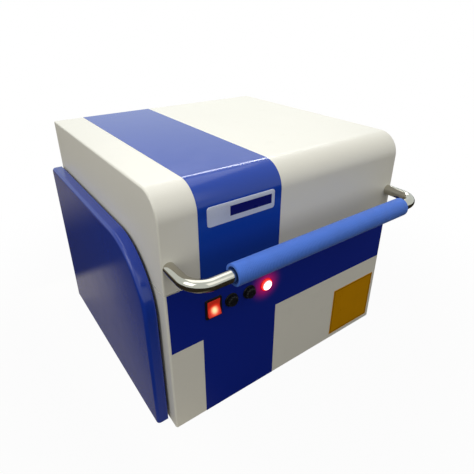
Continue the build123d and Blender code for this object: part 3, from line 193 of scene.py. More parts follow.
class Shader(Nodes):
    """A material in the making, on object coordinates in metres."""

    def __init__(self, name: str) -> None:
        """Starts an empty material.

        Args:
            name: the material's name.
        """
        self.material = bpy.data.materials.new(name)
        self.material.use_nodes = True
        super().__init__(self.material.node_tree)
        self.place = self.node("ShaderNodeTexCoord", {}, {}).outputs["Object"]
        apart = self.node("ShaderNodeSeparateXYZ", {}, {0: self.place})
        self.x, self.y, self.z = (Value(self, socket) for socket in apart.outputs)

    def stretched(self, scale: Place) -> bpy.types.NodeSocket:
        """Object coordinates with each axis scaled."""
        return self.node("ShaderNodeMapping", {}, {"Vector": self.place, "Scale": scale}).outputs[0]

    def away(self, middle: Place) -> Value:
        """Distance from a point, in metres."""
        gaps = [axis - at for axis, at in zip((self.x, self.y, self.z), middle)]
        return (gaps[0] * gaps[0] + gaps[1] * gaps[1] + gaps[2] * gaps[2]) ** 0.5

    def noise(self, scale: float, detail: float = 2.0, stretch: Place = (1.0, 1.0, 1.0)) -> Value:
        """Smooth noise from 0 to 1.

        Args:
            scale: waves per metre.
            detail: number of finer layers.
            stretch: scale of each axis.

        Returns:
            The noise.
        """
        place = self.place if stretch == (1.0, 1.0, 1.0) else self.stretched(stretch)
        inputs = {"Vector": place, "Scale": scale, "Detail": detail}
        return Value(self, self.node("ShaderNodeTexNoise", {}, inputs).outputs[0])

    def cells(self, scale: float) -> Value:
        """Distance from the nearest cell's middle, for cells of this many per metre."""
        inputs = {"Vector": self.place, "Scale": scale}
        return Value(self, self.node("ShaderNodeTexVoronoi", {}, inputs).outputs["Distance"])

    def blend(
        self, share: Value, first: Colour | bpy.types.NodeSocket,
        second: Colour | bpy.types.NodeSocket,
    ) -> bpy.types.NodeSocket:
        """Colour that turns from first to second.

        Args:
            share: 0 for first, 1 for second.
            first: a colour or its socket.
            second: a colour or its socket.

        Returns:
            The colour's socket.
        """
        node = self.node("ShaderNodeMix", {"data_type": "RGBA"}, {0: share, 6: first, 7: second})
        return node.outputs[2]

    def bump(
        self, height: Value, depth: float, under: bpy.types.NodeSocket | None = None
    ) -> bpy.types.NodeSocket:
        """Normal of a relief.

        Args:
            height: relief from 0 to 1.
            depth: the relief's depth in metres.
            under: the normal of a coarser relief below it.

        Returns:
            The normal's socket.
        """
        inputs = {"Height": height, "Distance": depth}
        if under is not None:
            inputs["Normal"] = under
        return self.node("ShaderNodeBump", {}, inputs).outputs[0]

    def surface(self, **inputs: object) -> bpy.types.Material:
        """Joins the sockets to a Principled BSDF.

        Args:
            inputs: its inputs, with underscores for spaces.

        Returns:
            The finished material.
        """
        named = {key.replace("_", " "): value for key, value in inputs.items()}
        skin = self.node("ShaderNodeBsdfPrincipled", {}, named)
        self.node("ShaderNodeOutputMaterial", {}, {"Surface": skin.outputs[0]})
        return self.material


# ---------------------------------------------------------------- finishes
@dataclass(frozen=True)
class PaintedLampGlow:
    """Painted lamp light: emission that paints the haze of the pilot lamp's light into the gloss of
    what is near it, though those surfaces are no lamp.
    """

    middle: Place
    colour: Colour
    reach: float

    def light(self, shader: Shader) -> dict:
        """Painted glow: emission that dies away from the lamp.

        Args:
            shader: the shader that glows.

        Returns:
            The Principled inputs of the glow.
        """
        away = shader.away(self.middle)
        fall = (1.0 - away / self.reach).most(0.0)
        glow = shader.blend(fall * fall * fall, (0.0, 0.0, 0.0), self.colour)
        return {"Emission_Color": glow, "Emission_Strength": 1.0}


@dataclass(frozen=True)
class Finish(ABC):
    """A finish: the name of its material and the record's slot that it stands for."""

    name: str
    slot: str
    colour: Colour

    def shade(self, factor: float) -> Colour:
        """The finish's colour made darker or lighter."""
        return tuple(min(channel * factor, 1.0) for channel in self.colour)

    def spread(self, shader: Shader, share: Value, tones: Span) -> bpy.types.NodeSocket:
        """The finish's colour between two tones.

        Args:
            shader: the finish's shader.
            share: 0 for the first tone, 1 for the second.
            tones: how bright each is beside the plain colour.

        Returns:
            The colour's socket.
        """
        return shader.blend(share, self.shade(tones[0]), self.shade(tones[1]))

    @abstractmethod
    def make(self) -> bpy.types.Material:
        """Writes the material; each finish has its own way."""

    @cache
    def material(self) -> bpy.types.Material:
        """The finish's one material."""
        return self.make()


@dataclass(frozen=True)
class PowderCoat(Finish):
    """Sprayed and baked paint on sheet metal, with a fine orange peel."""

    roughness: float = 0.36
    peel: float = 420.0
    gloss: float = 0.5
    swell: float = 0.00003
    # optional painted glow: emission standing in for the pilot lamp's light on paint near it
    painted_lamp_glow: PaintedLampGlow | None = None
    tones: Span = (0.955, 1.03)
    drift: float = 5.0
    wear: float = 38.0
    worn: Span = (0.62, 0.8)
    worn_share: float = 0.25
    worn_tone: float = 0.88
    uneven: float = 0.14
    grain_depth: float = 0.000006

    def make(self) -> bpy.types.Material:
        """Paint whose tone drifts a little and whose peel catches the light."""
        shader = Shader(self.name)
        drift = shader.noise(self.drift, 3.0)
        rub = shader.noise(self.wear, 4.0)
        peel = shader.noise(self.peel, 3.0)
        grain = shader.noise(self.peel * 4, 1.0)
        colour = self.spread(shader, drift, self.tones)
        worn = rub.rise(*self.worn) * self.worn_share
        colour = shader.blend(worn, colour, self.shade(self.worn_tone))
        return shader.surface(
            Base_Color=colour,
            Roughness=self.roughness + (rub - 0.5) * self.uneven,
            Specular_IOR_Level=self.gloss,
            Normal=shader.bump(grain, self.grain_depth, shader.bump(peel, self.swell)),
            # painted lamp glow, if the paint has one
            **(self.painted_lamp_glow.light(shader) if self.painted_lamp_glow else {}),
        )


@dataclass(frozen=True)
class Moulding(Finish):
    """Moulded plastic with a fine texture."""

    roughness: float = 0.4
    grain: float = 900.0
    depth: float = 0.00003
    gloss: float = 0.5
    tones: Span = (0.92, 1.08)
    drift: float = 9.0
    wear: float = 55.0
    uneven: float = 0.16

    def make(self) -> bpy.types.Material:
        """Plastic with a fine grain and slightly polished patches."""
        shader = Shader(self.name)
        drift = shader.noise(self.drift, 2.0)
        rub = shader.noise(self.wear, 5.0)
        grain = shader.noise(self.grain, 2.0)
        return shader.surface(
            Base_Color=self.spread(shader, drift, self.tones),
            Roughness=self.roughness + (rub - 0.5) * self.uneven,
            Specular_IOR_Level=self.gloss,
            Normal=shader.bump(grain, self.depth),
        )


@dataclass(frozen=True)
class Metal(Finish):
    """Bare or plated metal with fine drawn lines."""

    roughness: float = 0.2
    lines: Place = (1.0, 1.0, 1.0)
    depth: float = 0.000006
    tones: Span = (0.9, 1.06)
    drawing: float = 900.0
    clouds: float = 24.0
    specks: float = 310.0
    speck_edge: Span = (0.66, 0.8)
    speck_share: float = 0.3
    speck_tone: float = 0.7
    uneven: float = 0.12

    def make(self) -> bpy.types.Material:
        """Metal whose lines follow the axis that they are stretched along."""
        shader = Shader(self.name)
        drawn = shader.noise(self.drawing, 2.0, self.lines)
        cloud = shader.noise(self.clouds, 4.0)
        specks = shader.noise(self.specks, 1.0).rise(*self.speck_edge) * self.speck_share
        colour = self.spread(shader, cloud, self.tones)
        return shader.surface(
            Base_Color=shader.blend(specks, colour, self.shade(self.speck_tone)),
            Metallic=1.0,
            Roughness=self.roughness + (cloud - 0.5) * self.uneven + (drawn - 0.5) * self.uneven,
            Normal=shader.bump(drawn, self.depth),
        )


@dataclass(frozen=True)
class Turned(Finish):
    """Metal faced on a lathe, with rings about a point."""

    middle: Place = (0.0, 0.0, 0.0)
    pitch: float = 0.0008
    depth: float = 0.000012
    tones: Span = (0.9, 1.08)
    clouds: float = 40.0
    ring_share: float = 0.3
    ring_tone: float = 0.75
    ring_rough: float = 0.08
    roughness: float = 0.26
    uneven: float = 0.1

    def make(self) -> bpy.types.Material:
        """Metal with fine concentric rings."""
        shader = Shader(self.name)
        ring = shader.away(self.middle).repeat(self.pitch) / (self.pitch / 2)
        cloud = shader.noise(self.clouds, 3.0)
        colour = self.spread(shader, cloud, self.tones)
        return shader.surface(
            Base_Color=shader.blend(ring * self.ring_share, colour, self.shade(self.ring_tone)),
            Metallic=1.0,
            Roughness=self.roughness + ring * self.ring_rough + (cloud - 0.5) * self.uneven,
            Normal=shader.bump(ring, self.depth),
        )


@dataclass(frozen=True)
class Foam(Finish):
    """Closed-cell foam, turned on a tube, with the fine rings that the turning leaves."""

    # optional painted glow: emission standing in for the pilot lamp's light on foam near it
    painted_lamp_glow: PaintedLampGlow | None = None
    tones: Span = (0.88, 1.1)
    swells: float = 60.0
    ring_pitch: float = 0.0022
    ring_depth: float = 0.0003
    ring_share: float = 0.5
    ring_tone: float = 0.74
    wander: float = 0.0016
    wander_scale: float = 35.0
    pores: float = 1150.0
    pore_edge: Span = (0.1, 0.42)
    pore_depth: float = 0.00008
    pore_share: float = 0.4
    pore_tone: float = 0.6
    roughness: float = 0.58
    uneven: float = 0.1
    gloss: float = 0.35
    sheen: float = 0.12
    sheen_roughness: float = 0.45

    def make(self) -> bpy.types.Material:
        """Foam skin with rings and pores over a soft unevenness."""
        shader = Shader(self.name)
        skin = shader.cells(self.pores).rise(*self.pore_edge)
        swell = shader.noise(self.swells, 3.0)
        wander = (shader.noise(self.wander_scale, 2.0) - 0.5) * self.wander
        ring = (shader.x + wander).repeat(self.ring_pitch) / (self.ring_pitch / 2)
        colour = self.spread(shader, swell, self.tones)
        colour = shader.blend(ring * self.ring_share, colour, self.shade(self.ring_tone))
        pores = (1.0 - skin) * self.pore_share
        return shader.surface(
            Base_Color=shader.blend(pores, colour, self.shade(self.pore_tone)),
            Roughness=self.roughness + (swell - 0.5) * self.uneven,
            Specular_IOR_Level=self.gloss,
            Sheen_Weight=self.sheen,
            Sheen_Roughness=self.sheen_roughness,
            Normal=shader.bump(
                skin, self.pore_depth, shader.bump(1.0 - ring, self.ring_depth)
            ),
            # painted lamp glow, if the foam has one
            **(self.painted_lamp_glow.light(shader) if self.painted_lamp_glow else {}),
        )


@dataclass(frozen=True)
class Glow(Finish):
    """A lens with a lamp behind it, hottest at its middle; also used for the painted red glow on the
    lamp's black bezel.
    """

    middle: Place = (0.0, 0.0, 0.0)
    reach: float = 0.008
    heart: Colour = (1.0, 0.9, 0.8)
    strength: float = 3.0
    core: float = 0.25
    fade: float = 1.0
    rim: float = 1.25
    rim_tone: float = 0.3
    tones: Span = (0.8, 0.45)
    rib_pitch: float = 0.0009
    rib_depth: float = 0.00008
    rib_share: float = 0.3
    rib_rough: float = 0.06
    roughness: float = 0.16

    def make(self) -> bpy.types.Material:
        """Tinted plastic that shines from its middle outwards."""
        shader = Shader(self.name)
        across = (shader.x - self.middle[0]) / self.reach
        along = (shader.z - self.middle[2]) / self.reach
        away = (across * across + along * along) ** 0.5
        ribs = shader.z.repeat(self.rib_pitch) / (self.rib_pitch / 2)
        heat = away.rise(self.fade, self.core)
        dim = away.rise(self.fade * 0.5, self.rim)
        light = shader.blend(dim, self.colour, self.shade(self.rim_tone))
        return shader.surface(
            Base_Color=self.spread(shader, ribs * self.rib_share, self.tones),
            Roughness=self.roughness + ribs * self.rib_rough,
            Emission_Color=shader.blend(heat * heat, light, self.heart),
            Emission_Strength=self.strength,
            Normal=shader.bump(ribs, self.rib_depth),
        )


@dataclass(frozen=True)
class Film(Finish):
    """Printed or metallised film with a thin darker border."""

    corner_low: Span = (0.0, 0.0)
    corner_high: Span = (0.0, 0.0)
    line_start: Span = (0.00224, 0.00252)
    line_end: Span = (0.00378, 0.0035)
    line_share: float = 0.75
    line_tone: float = 0.16
    tones: Span = (0.9, 1.08)
    drift: float = 30.0
    glue: float = 90.0
    glue_depth: float = 0.00008
    roughness: float = 0.3
    uneven: float = 0.12
    gloss: float = 0.12

    def make(self) -> bpy.types.Material:
        """Film with a printed line inside its edge and a faint unevenness of the glue."""
        shader = Shader(self.name)
        (left, bottom), (right, top) = self.corner_low, self.corner_high
        edge = (shader.x - left).least(right - shader.x)
        edge = edge.least((shader.z - bottom).least(top - shader.z))
        line = edge.rise(*self.line_start) * edge.rise(*self.line_end) * self.line_share
        glue = shader.noise(self.glue, 2.0)
        colour = self.spread(shader, shader.noise(self.drift, 3.0), self.tones)
        return shader.surface(
            Base_Color=shader.blend(line, colour, self.shade(self.line_tone)),
            Roughness=self.roughness + (glue - 0.5) * self.uneven,
            Specular_IOR_Level=self.gloss,
            Normal=shader.bump(glue, self.glue_depth),
        )


@dataclass(frozen=True)
class Board(Finish):
    """Printed circuit board with tracks and pads."""

    pad_pitch: float = 0.00254
    pad_edge: Span = (0.0008, 0.0006)
    pad_fields: float = 46.0
    field_edge: Span = (0.55, 0.58)
    tin: Colour = (0.62, 0.6, 0.52)
    tin_polish: float = 0.16
    tracks: float = 140.0
    track_run: Place = (1.0, 0.25, 1.0)
    track_pitch: float = 0.09
    track_edge: Span = (0.5, 0.62)
    track_share: float = 0.6
    track_tone: float = 2.2
    roughness: float = 0.42
    depth: float = 0.00006

    def make(self) -> bpy.types.Material:
        """Solder mask over copper tracks, with tinned pads in rows."""
        shader = Shader(self.name)
        tracks = shader.noise(self.tracks, 0.0, self.track_run).repeat(self.track_pitch)
        track = (tracks / (self.track_pitch / 2)).rise(*self.track_edge)
        across, along = shader.x.repeat(self.pad_pitch), shader.y.repeat(self.pad_pitch)
        pad = (across * across + along * along) ** 0.5
        fields = shader.noise(self.pad_fields, 0.0).rise(*self.field_edge)
        pads = pad.rise(*self.pad_edge) * fields
        copper = self.shade(self.track_tone)
        colour = shader.blend(track * self.track_share, self.colour, copper)
        return shader.surface(
            Base_Color=shader.blend(pads, colour, self.tin),
            Metallic=pads,
            Roughness=self.roughness - pads * self.tin_polish,
            Normal=shader.bump(track.most(pads), self.depth),
        )


LAMP_PLACE = (-0.0545, -0.176, 0.197)
ROCKER_PLACE = (-0.1425, -0.174, 0.194)
WHITE_PAINT = PowderCoat("white_paint", "white_paint", (0.815, 0.804, 0.725), 0.36, gloss=0.4)
# The bands' one blue paint comes in two copies. This lighter copy on the hood band is painted light
# for its lit top.
BLUE_PAINT_PAINTED_LIT_COPY = PowderCoat("blue_paint", "blue_paint", (0.006, 0.05, 0.4), 0.16, 200.0, gloss=0.44)
# Darker copy of the same blue, painted shade for the front band, with a painted red glow of the pilot
# lamp around it.
BLUE_PAINT_PAINTED_SHADE_AND_GLOW = PowderCoat(
    "blue_paint_painted_shade_and_glow", "blue_paint", (0.006, 0.021, 0.28), 0.1, 200.0, gloss=0.25,
    painted_lamp_glow=PaintedLampGlow(LAMP_PLACE, (1.0, 0.0, 0.08), 0.035),
)
BLUE_MOULDING = PowderCoat(
    "blue_moulding", "blue_moulding", (0.008, 0.038, 0.34), 0.17, 300.0, gloss=0.5, swell=0.000014
)
STAINLESS = Metal("stainless", "stainless", (0.52, 0.49, 0.42), roughness=0.12, lines=(0.04, 1, 1))
SATIN = Metal("stainless_satin", "stainless", (0.58, 0.57, 0.55), roughness=0.24)
PLATED = Metal("plated_steel", "plated_steel", (0.56, 0.56, 0.55), roughness=0.26)
LINER_STEEL = Metal("liner_steel", "liner_steel", (0.5, 0.5, 0.49), roughness=0.34, lines=(1, 1, 0.03))
ANODISED = Metal("anodised", "anodised", (0.45, 0.46, 0.48), roughness=0.38, lines=(1, 0.05, 1))
TURNED = Turned("turned", "anodised", (0.5, 0.5, 0.51), middle=(0.0, MIDDLE_Y, 0.25))
BRASS = Metal("brass_filters", "brass_filters", (0.62, 0.42, 0.16), roughness=0.22, lines=(0.05, 1, 1))
NAMEPLATE = Metal(
    "nameplate_metal", "nameplate_metal", (0.8, 0.79, 0.85), roughness=0.58, lines=(0.03, 1, 1)
)
# The foam carries a painted red glow of the pilot lamp where the grip passes near it.
FOAM = Foam(
    "blue_foam", "blue_foam", (0.07, 0.205, 0.78), painted_lamp_glow=PaintedLampGlow(LAMP_PLACE, (0.5, 0.0, 0.05), 0.078)
)
BLACK = Moulding(
    "black_plastic", "black_plastic", (0.008, 0.008, 0.009), roughness=0.38, gloss=0.25
)
RUBBER = Moulding("foot_rubber", "foot_rubber", (0.02, 0.02, 0.021), roughness=0.72, grain=420.0)
SEAL = Moulding("seal_rubber", "seal_rubber", (0.03, 0.03, 0.031), roughness=0.82, grain=700.0)
LAMP_WHITE = Moulding("lamp_white", "lamp_white", (0.82, 0.82, 0.8), roughness=0.3)
INLAY = Moulding(
    "nameplate_inlay", "blue_paint", (0.005, 0.006, 0.14), roughness=0.3, depth=0.00001,
    gloss=0.15,
)
TUBE_PAINT = PowderCoat("tube_paint", "tube_paint", (0.28, 0.29, 0.3), 0.42, 300.0)
WINDOW = Moulding("window_film", "window_film", (0.32, 0.2, 0.06), roughness=0.16, depth=0.00001)
BOARD = Board("board_green", "board_green", (0.012, 0.09, 0.03))
AMBER = Film(
    "amber_film", "amber_film", (0.6, 0.27, 0.0),
    corner_low=(0.100, 0.020), corner_high=(0.201, 0.116),
)
RED_LENS = Glow(
    "red_lens", "red_lens", (1.0, 0.03, 0.02), middle=LAMP_PLACE, reach=0.0085,
    heart=(1.0, 0.88, 0.84), strength=3.4, core=0.72, fade=1.02,
)
# The lamp's bezel is black plastic and no lamp; its red glow is painted light of the lamp beside it.
BEZEL_PAINTED_GLOW = Glow(
    "bezel_painted_glow", "black_plastic", (0.62, 0.004, 0.012), middle=LAMP_PLACE, reach=0.0105,
    heart=(1.0, 0.02, 0.02), strength=0.9, core=0.78, fade=1.0,
)
RED_ROCKER = Glow(
    "red_rocker", "red_lens", (0.66, 0.028, 0.012), middle=ROCKER_PLACE, reach=0.013,
    heart=(1.0, 0.86, 0.42), strength=1.0, core=0.08, fade=0.68, rim=0.9,
)


# ---------------------------------------------------------------- making pieces
class Kind(Enum):
    """The elements that can be picked in edit mode."""

    EDGE = "EDGE"
    FACE = "FACE"


class Piece:
    """A mesh in the making, shaped with Blender's operators and then laid on a CAD body."""

    def __init__(self, name: str, made: bpy.types.Object) -> None:
        """Names the object.

        Args:
            name: the piece's name.
            made: its object.
        """
        made.name = name
        made.data.name = name
        self.object = made

    @classmethod
    def start(cls, name: str, primitive: str, **options: object) -> "Piece":
        """Adds a primitive.

        Args:
            name: the piece's name.
            primitive: the primitive's operator, without primitive_ and _add.
            options: the operator's options.

        Returns:
            The piece.
        """
        bpy.ops.object.select_all(action="DESELECT")
        getattr(bpy.ops.mesh, f"primitive_{primitive}_add")(**options)
        return cls(name, bpy.context.object)

    @classmethod
    def copy_of(cls, name: str, node: str) -> "Piece":
        """Copies a CAD node and merges its triangles.

        Args:
            name: the piece's name.
            node: the CAD node.

        Returns:
            The piece.
        """
        source = frame["nodes"][node]
        made = bpy.data.objects.new(name, source.data.copy())
        bpy.context.scene.collection.objects.link(made)
        made.data.materials.clear()
        piece = cls(name, made)
        piece.alone()
        if made.data.has_custom_normals:
            bpy.ops.mesh.customdata_custom_splitnormals_clear()
        piece.edit(Kind.FACE, lambda face: True)
        bpy.ops.mesh.remove_doubles(threshold=CLOSE)
        bpy.ops.mesh.dissolve_limited(angle_limit=math.radians(FLAT))
        piece.done()
        return piece

    def alone(self) -> None:
        """Selects this object and nothing else."""
        bpy.ops.object.select_all(action="DESELECT")
        self.object.select_set(True)
        bpy.context.view_layer.objects.active = self.object

    def edit(self, kind: Kind, test: Callable[[Element], bool]) -> None:
        """Enters edit mode if need be, and picks elements.

        Args:
            kind: what is picked.
            test: whether an element is picked.
        """
        if self.object.mode != "EDIT":
            self.alone()
            bpy.ops.object.mode_set(mode="EDIT")
        bpy.ops.mesh.select_mode(type=kind.value)
        bpy.ops.mesh.select_all(action="DESELECT")
        mesh = bmesh.from_edit_mesh(self.object.data)
        for element in mesh.edges if kind is Kind.EDGE else mesh.faces:
            if test(element):
                element.select_set(True)
        mesh.select_flush_mode()
        bmesh.update_edit_mesh(self.object.data)

    def done(self) -> None:
        """Leaves edit mode."""
        bpy.ops.object.mode_set(mode="OBJECT")

    def shape(self, kind: str, **settings: object) -> "Piece":
        """Adds a modifier and applies it.

        Args:
            kind: the modifier's type.
            settings: its settings.

        Returns:
            The piece.
        """
        self.alone()
        modifier = self.object.modifiers.new(kind.lower(), kind)
        for key, value in settings.items():
            setattr(modifier, key, value)
        bpy.ops.object.modifier_apply(modifier=modifier.name)
        return self

    def soften(self, width: float, segments: int = 2) -> "Piece":
        """Rounds the sharp edges.

        Args:
            width: the rounding's width in metres.
            segments: its steps.

        Returns:
            The piece.
        """
        return self.shape(
            "BEVEL", width=width, segments=segments, limit_method="ANGLE",
            angle_limit=math.radians(SHARP), use_clamp_overlap=True,
        )

    def placed(self, name: str, place: Place, turn: Place) -> "Piece":
        """A copy with its own mesh.

        Args:
            name: the copy's name.
            place: where its origin goes.
            turn: how it is turned, in radians.

        Returns:
            The copy.
        """
        made = self.object.copy()
        made.data = self.object.data.copy()
        made.location = place
        made.rotation_euler = turn
        bpy.context.scene.collection.objects.link(made)
        return Piece(name, made)

    def join(self, others: Sequence["Piece"]) -> "Piece":
        """Takes other pieces into this one.

        Args:
            others: the pieces, which are gone afterwards.

        Returns:
            The piece.
        """
        self.alone()
        for other in others:
            other.object.select_set(True)
        bpy.ops.object.join()
        return self

    def remove(self) -> None:
        """Deletes a pattern or cutter that is no longer needed."""
        bpy.data.objects.remove(self.object)

    def fix(self) -> None:
        """Puts the object's place, turn and scale into its mesh."""
        self.alone()
        bpy.ops.object.transform_apply(location=True, rotation=True, scale=True)

    def settle(
        self, body: str, finish: Finish, replaced: Sequence[str] = (), angle: float = SHARP,
        turned: bool = False,
    ) -> None:
        """Puts the place into the mesh, smooths, dresses and lays the piece on its body.

        Args:
            body: the CAD body that it rides on.
            finish: its finish.
            replaced: CAD nodes that it stands for.
            angle: edges that turn by less look smooth, in degrees.
            turned: whether its normals need to be made to point outwards.
        """
        self.fix()
        if turned:
            self.edit(Kind.FACE, lambda face: True)
            bpy.ops.mesh.remove_doubles(threshold=CLOSE)
            bpy.ops.mesh.normals_make_consistent(inside=False)
            self.done()
        bpy.ops.object.shade_smooth_by_angle(angle=math.radians(angle))
        self.shape("WEIGHTED_NORMAL", keep_sharp=True)
        self.object.data.materials.clear()
        self.object.data.materials.append(finish.material())
        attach(self.object, body)
        if replaced:
            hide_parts(*replaced)


def faces_down(face: bmesh.types.BMFace) -> bool:
    """Whether a face looks down."""
    return face.normal.z < -0.9


def draw_out(way: Place) -> None:
    """Draws what is picked out along a way, with new faces behind it."""
    bpy.ops.mesh.extrude_region_move(TRANSFORM_OT_translate={"value": way})


def dress(node: str, finish: Finish) -> None:
    """Gives a CAD node its finish.

    Args:
        node: the node's name.
        finish: its finish.
    """
    slots = frame["nodes"][node].material_slots
    if not slots:
        frame["nodes"][node].data.materials.append(finish.material())
    for slot in slots:
        slot.material = finish.material()


def smooth(node: str, finish: Finish, width: float = 0.0, segments: int = 2) -> None:
    """Stands a merged and smoothed copy in for a CAD node.

    Args:
        node: the node's name.
        finish: its finish.
        width: the rounding of its sharp edges, in metres; 0 leaves them sharp.
        segments: steps of the rounding.
    """
    piece = Piece.copy_of(f"{node}_skin", node)
    if width:
        piece.soften(width, segments)
    piece.settle(frame["nodes"][node]["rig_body"], finish, [node])


# ---------------------------------------------------------------- studio
@dataclass(frozen=True)
class Lamp:
    """A soft rectangular lamp."""

    name: str
    place: Place
    aim: Place
    size: Span
    watts: float

    def hang(self) -> None:
        """Adds the lamp, turned towards its aim."""
        data = bpy.data.lights.new(self.name, "AREA")
        data.shape = "RECTANGLE"
        data.size, data.size_y = self.size
        data.energy = self.watts
        lamp = bpy.data.objects.new(self.name, data)
        lamp.location = self.place
        facing = Vector(self.aim) - Vector(self.place)
        lamp.rotation_euler = facing.to_track_quat("-Z", "Y").to_euler()
        bpy.context.scene.collection.objects.link(lamp)


@dataclass
class Bench:
    """The bench top: white to the camera apart from the shadow, dark with two pale zones to the left
    of the machine for everything else, so that the gloss of the panels has something to show."""

    size: float = 8.0
    white: float = 0.97
    fade: Span = (0.3, 0.8)
    dark: Colour = (0.04, 0.034, 0.024)
    pale: Colour = (0.44, 0.4, 0.32)
    near_back: Span = (0.33, 0.29)
    near_front: Span = (-0.5, -0.2)
    near_left: Span = (-0.325, -0.235)
    near_slant: float = 0.15
    far_front: Span = (0.5, 0.86)
    far_share: float = 0.62
    right: Span = (-0.1, -0.24)

    def tone(self, shader: Shader) -> bpy.types.NodeSocket:
        """Colour of the bench top.

        Args:
            shader: the bench's shader.

        Returns:
            The colour's socket.
        """
        slanted = shader.x + shader.y * self.near_slant
        near = shader.y.rise(*self.near_back) * shader.y.rise(*self.near_front)
        near = near * slanted.rise(*self.near_left)
        far = shader.y.rise(*self.far_front) * self.far_share
        return shader.blend((near + far) * shader.x.rise(*self.right), self.dark, self.pale)

    def material(self) -> bpy.types.Material:
        """A matt top that shines white where only the camera looks, and whiter further out."""
        shader = Shader("floor")
        path = shader.node("ShaderNodeLightPath", {}, {})
        seen = Value(shader, path.outputs["Is Camera Ray"])
        seen = seen.most(Value(shader, path.outputs["Is Transmission Ray"]))
        away = (shader.x * shader.x + shader.y * shader.y) ** 0.5
        white = self.white + away.rise(*self.fade) * (1.0 - self.white)
        matt = shader.node(
            "ShaderNodeBsdfPrincipled", {},
            {"Base Color": self.tone(shader), "Roughness": 1.0, "Specular IOR Level": 0.0},
        )
        glow = shader.node("ShaderNodeEmission", {}, {"Color": (1.0, 1.0, 1.0), "Strength": 1.0})
        both = shader.node(
            "ShaderNodeMixShader", {}, {0: seen * white, 1: matt.outputs[0], 2: glow.outputs[0]}
        )
        shader.node("ShaderNodeOutputMaterial", {}, {"Surface": both.outputs[0]})
        return shader.material

    def build(self) -> None:
        """Lays the bench top under the machine."""
        bpy.ops.mesh.primitive_plane_add(size=self.size, location=(0.0, 0.0, 0.0))
        plane = bpy.context.object
        plane.name = "floor"
        plane.data.materials.append(self.material())


@dataclass
class Studio:
    """Camera, world, bench and lamps."""

    eye: Place = (-0.364945, -0.534282, 0.542518)
    heading: float = 35.93
    fall: float = 26.80
    roll: float = 0.174
    lens: float = 31.0
    sensor: float = 36.0
    shift: Span = (-0.0037, -0.0405)
    fill: Colour = (0.55, 0.536, 0.509)
    sky: Colour = (0.88, 0.96, 0.98)
    white: Colour = (1.0, 1.0, 1.0)
    lamps: tuple[Lamp, ...] = (
        Lamp("key", (0.15, 0.3, 1.75), (0.0, 0.0, 0.3), size=(1.3, 1.3), watts=7.0),
        Lamp("fill", (-1.3, -0.3, 1.3), (0.0, 0.0, 0.2), size=(0.9, 0.9), watts=6.5),
        Lamp("front", (0.2, -1.55, 1.45), (0.0, -0.1, 0.3), size=(1.1, 1.1), watts=3.3),
        Lamp("strip", (0.92, 1.27, 1.37), (-0.1, -0.13, 0.37), size=(1.5, 0.14), watts=8.0),
    )

    def camera(self) -> None:
        """Adds the camera."""
        turn, drop = math.radians(self.heading), math.radians(self.fall)
        forward = Vector(
            (math.sin(turn) * math.cos(drop), math.cos(turn) * math.cos(drop), -math.sin(drop))
        )
        data = bpy.data.cameras.new("camera")
        data.lens = self.lens
        data.sensor_width = self.sensor
        data.shift_x, data.shift_y = self.shift
        camera = bpy.data.objects.new("camera", data)
        aim = forward.to_track_quat("-Z", "Y").to_matrix()
        spin = Matrix.Rotation(math.radians(self.roll), 3, "Z")
        camera.matrix_world = Matrix.Translation(self.eye) @ (aim @ spin).to_4x4()
        bpy.context.scene.collection.objects.link(camera)
        bpy.context.scene.camera = camera

    def world(self) -> None:
        """Adds the world: a soft fill, a pale sky in reflections, and white to the camera."""
        world = bpy.data.worlds.new("world")
        world.use_nodes = True
        nodes = Nodes(world.node_tree)
        path = nodes.node("ShaderNodeLightPath", {}, {})
        last = nodes.node("ShaderNodeBackground", {}, {"Color": self.fill})
        for rays, colour in (
            ("Is Glossy Ray", self.sky), ("Is Transmission Ray", self.white),
            ("Is Camera Ray", self.white),
        ):
            seen = nodes.node("ShaderNodeBackground", {}, {"Color": colour})
            inputs = {0: path.outputs[rays], 1: last.outputs[0], 2: seen.outputs[0]}
            last = nodes.node("ShaderNodeMixShader", {}, inputs)
        nodes.node("ShaderNodeOutputWorld", {}, {"Surface": last.outputs[0]})
        bpy.context.scene.world = world

    def build(self) -> None:
        """Sets up the studio."""
        bpy.context.scene.view_settings.view_transform = "Standard"
        self.camera()
        self.world()
        Bench().build()
        for lamp in self.lamps:
            lamp.hang()
        log.info("studio: camera, world, bench and %d lamps set up", len(self.lamps))


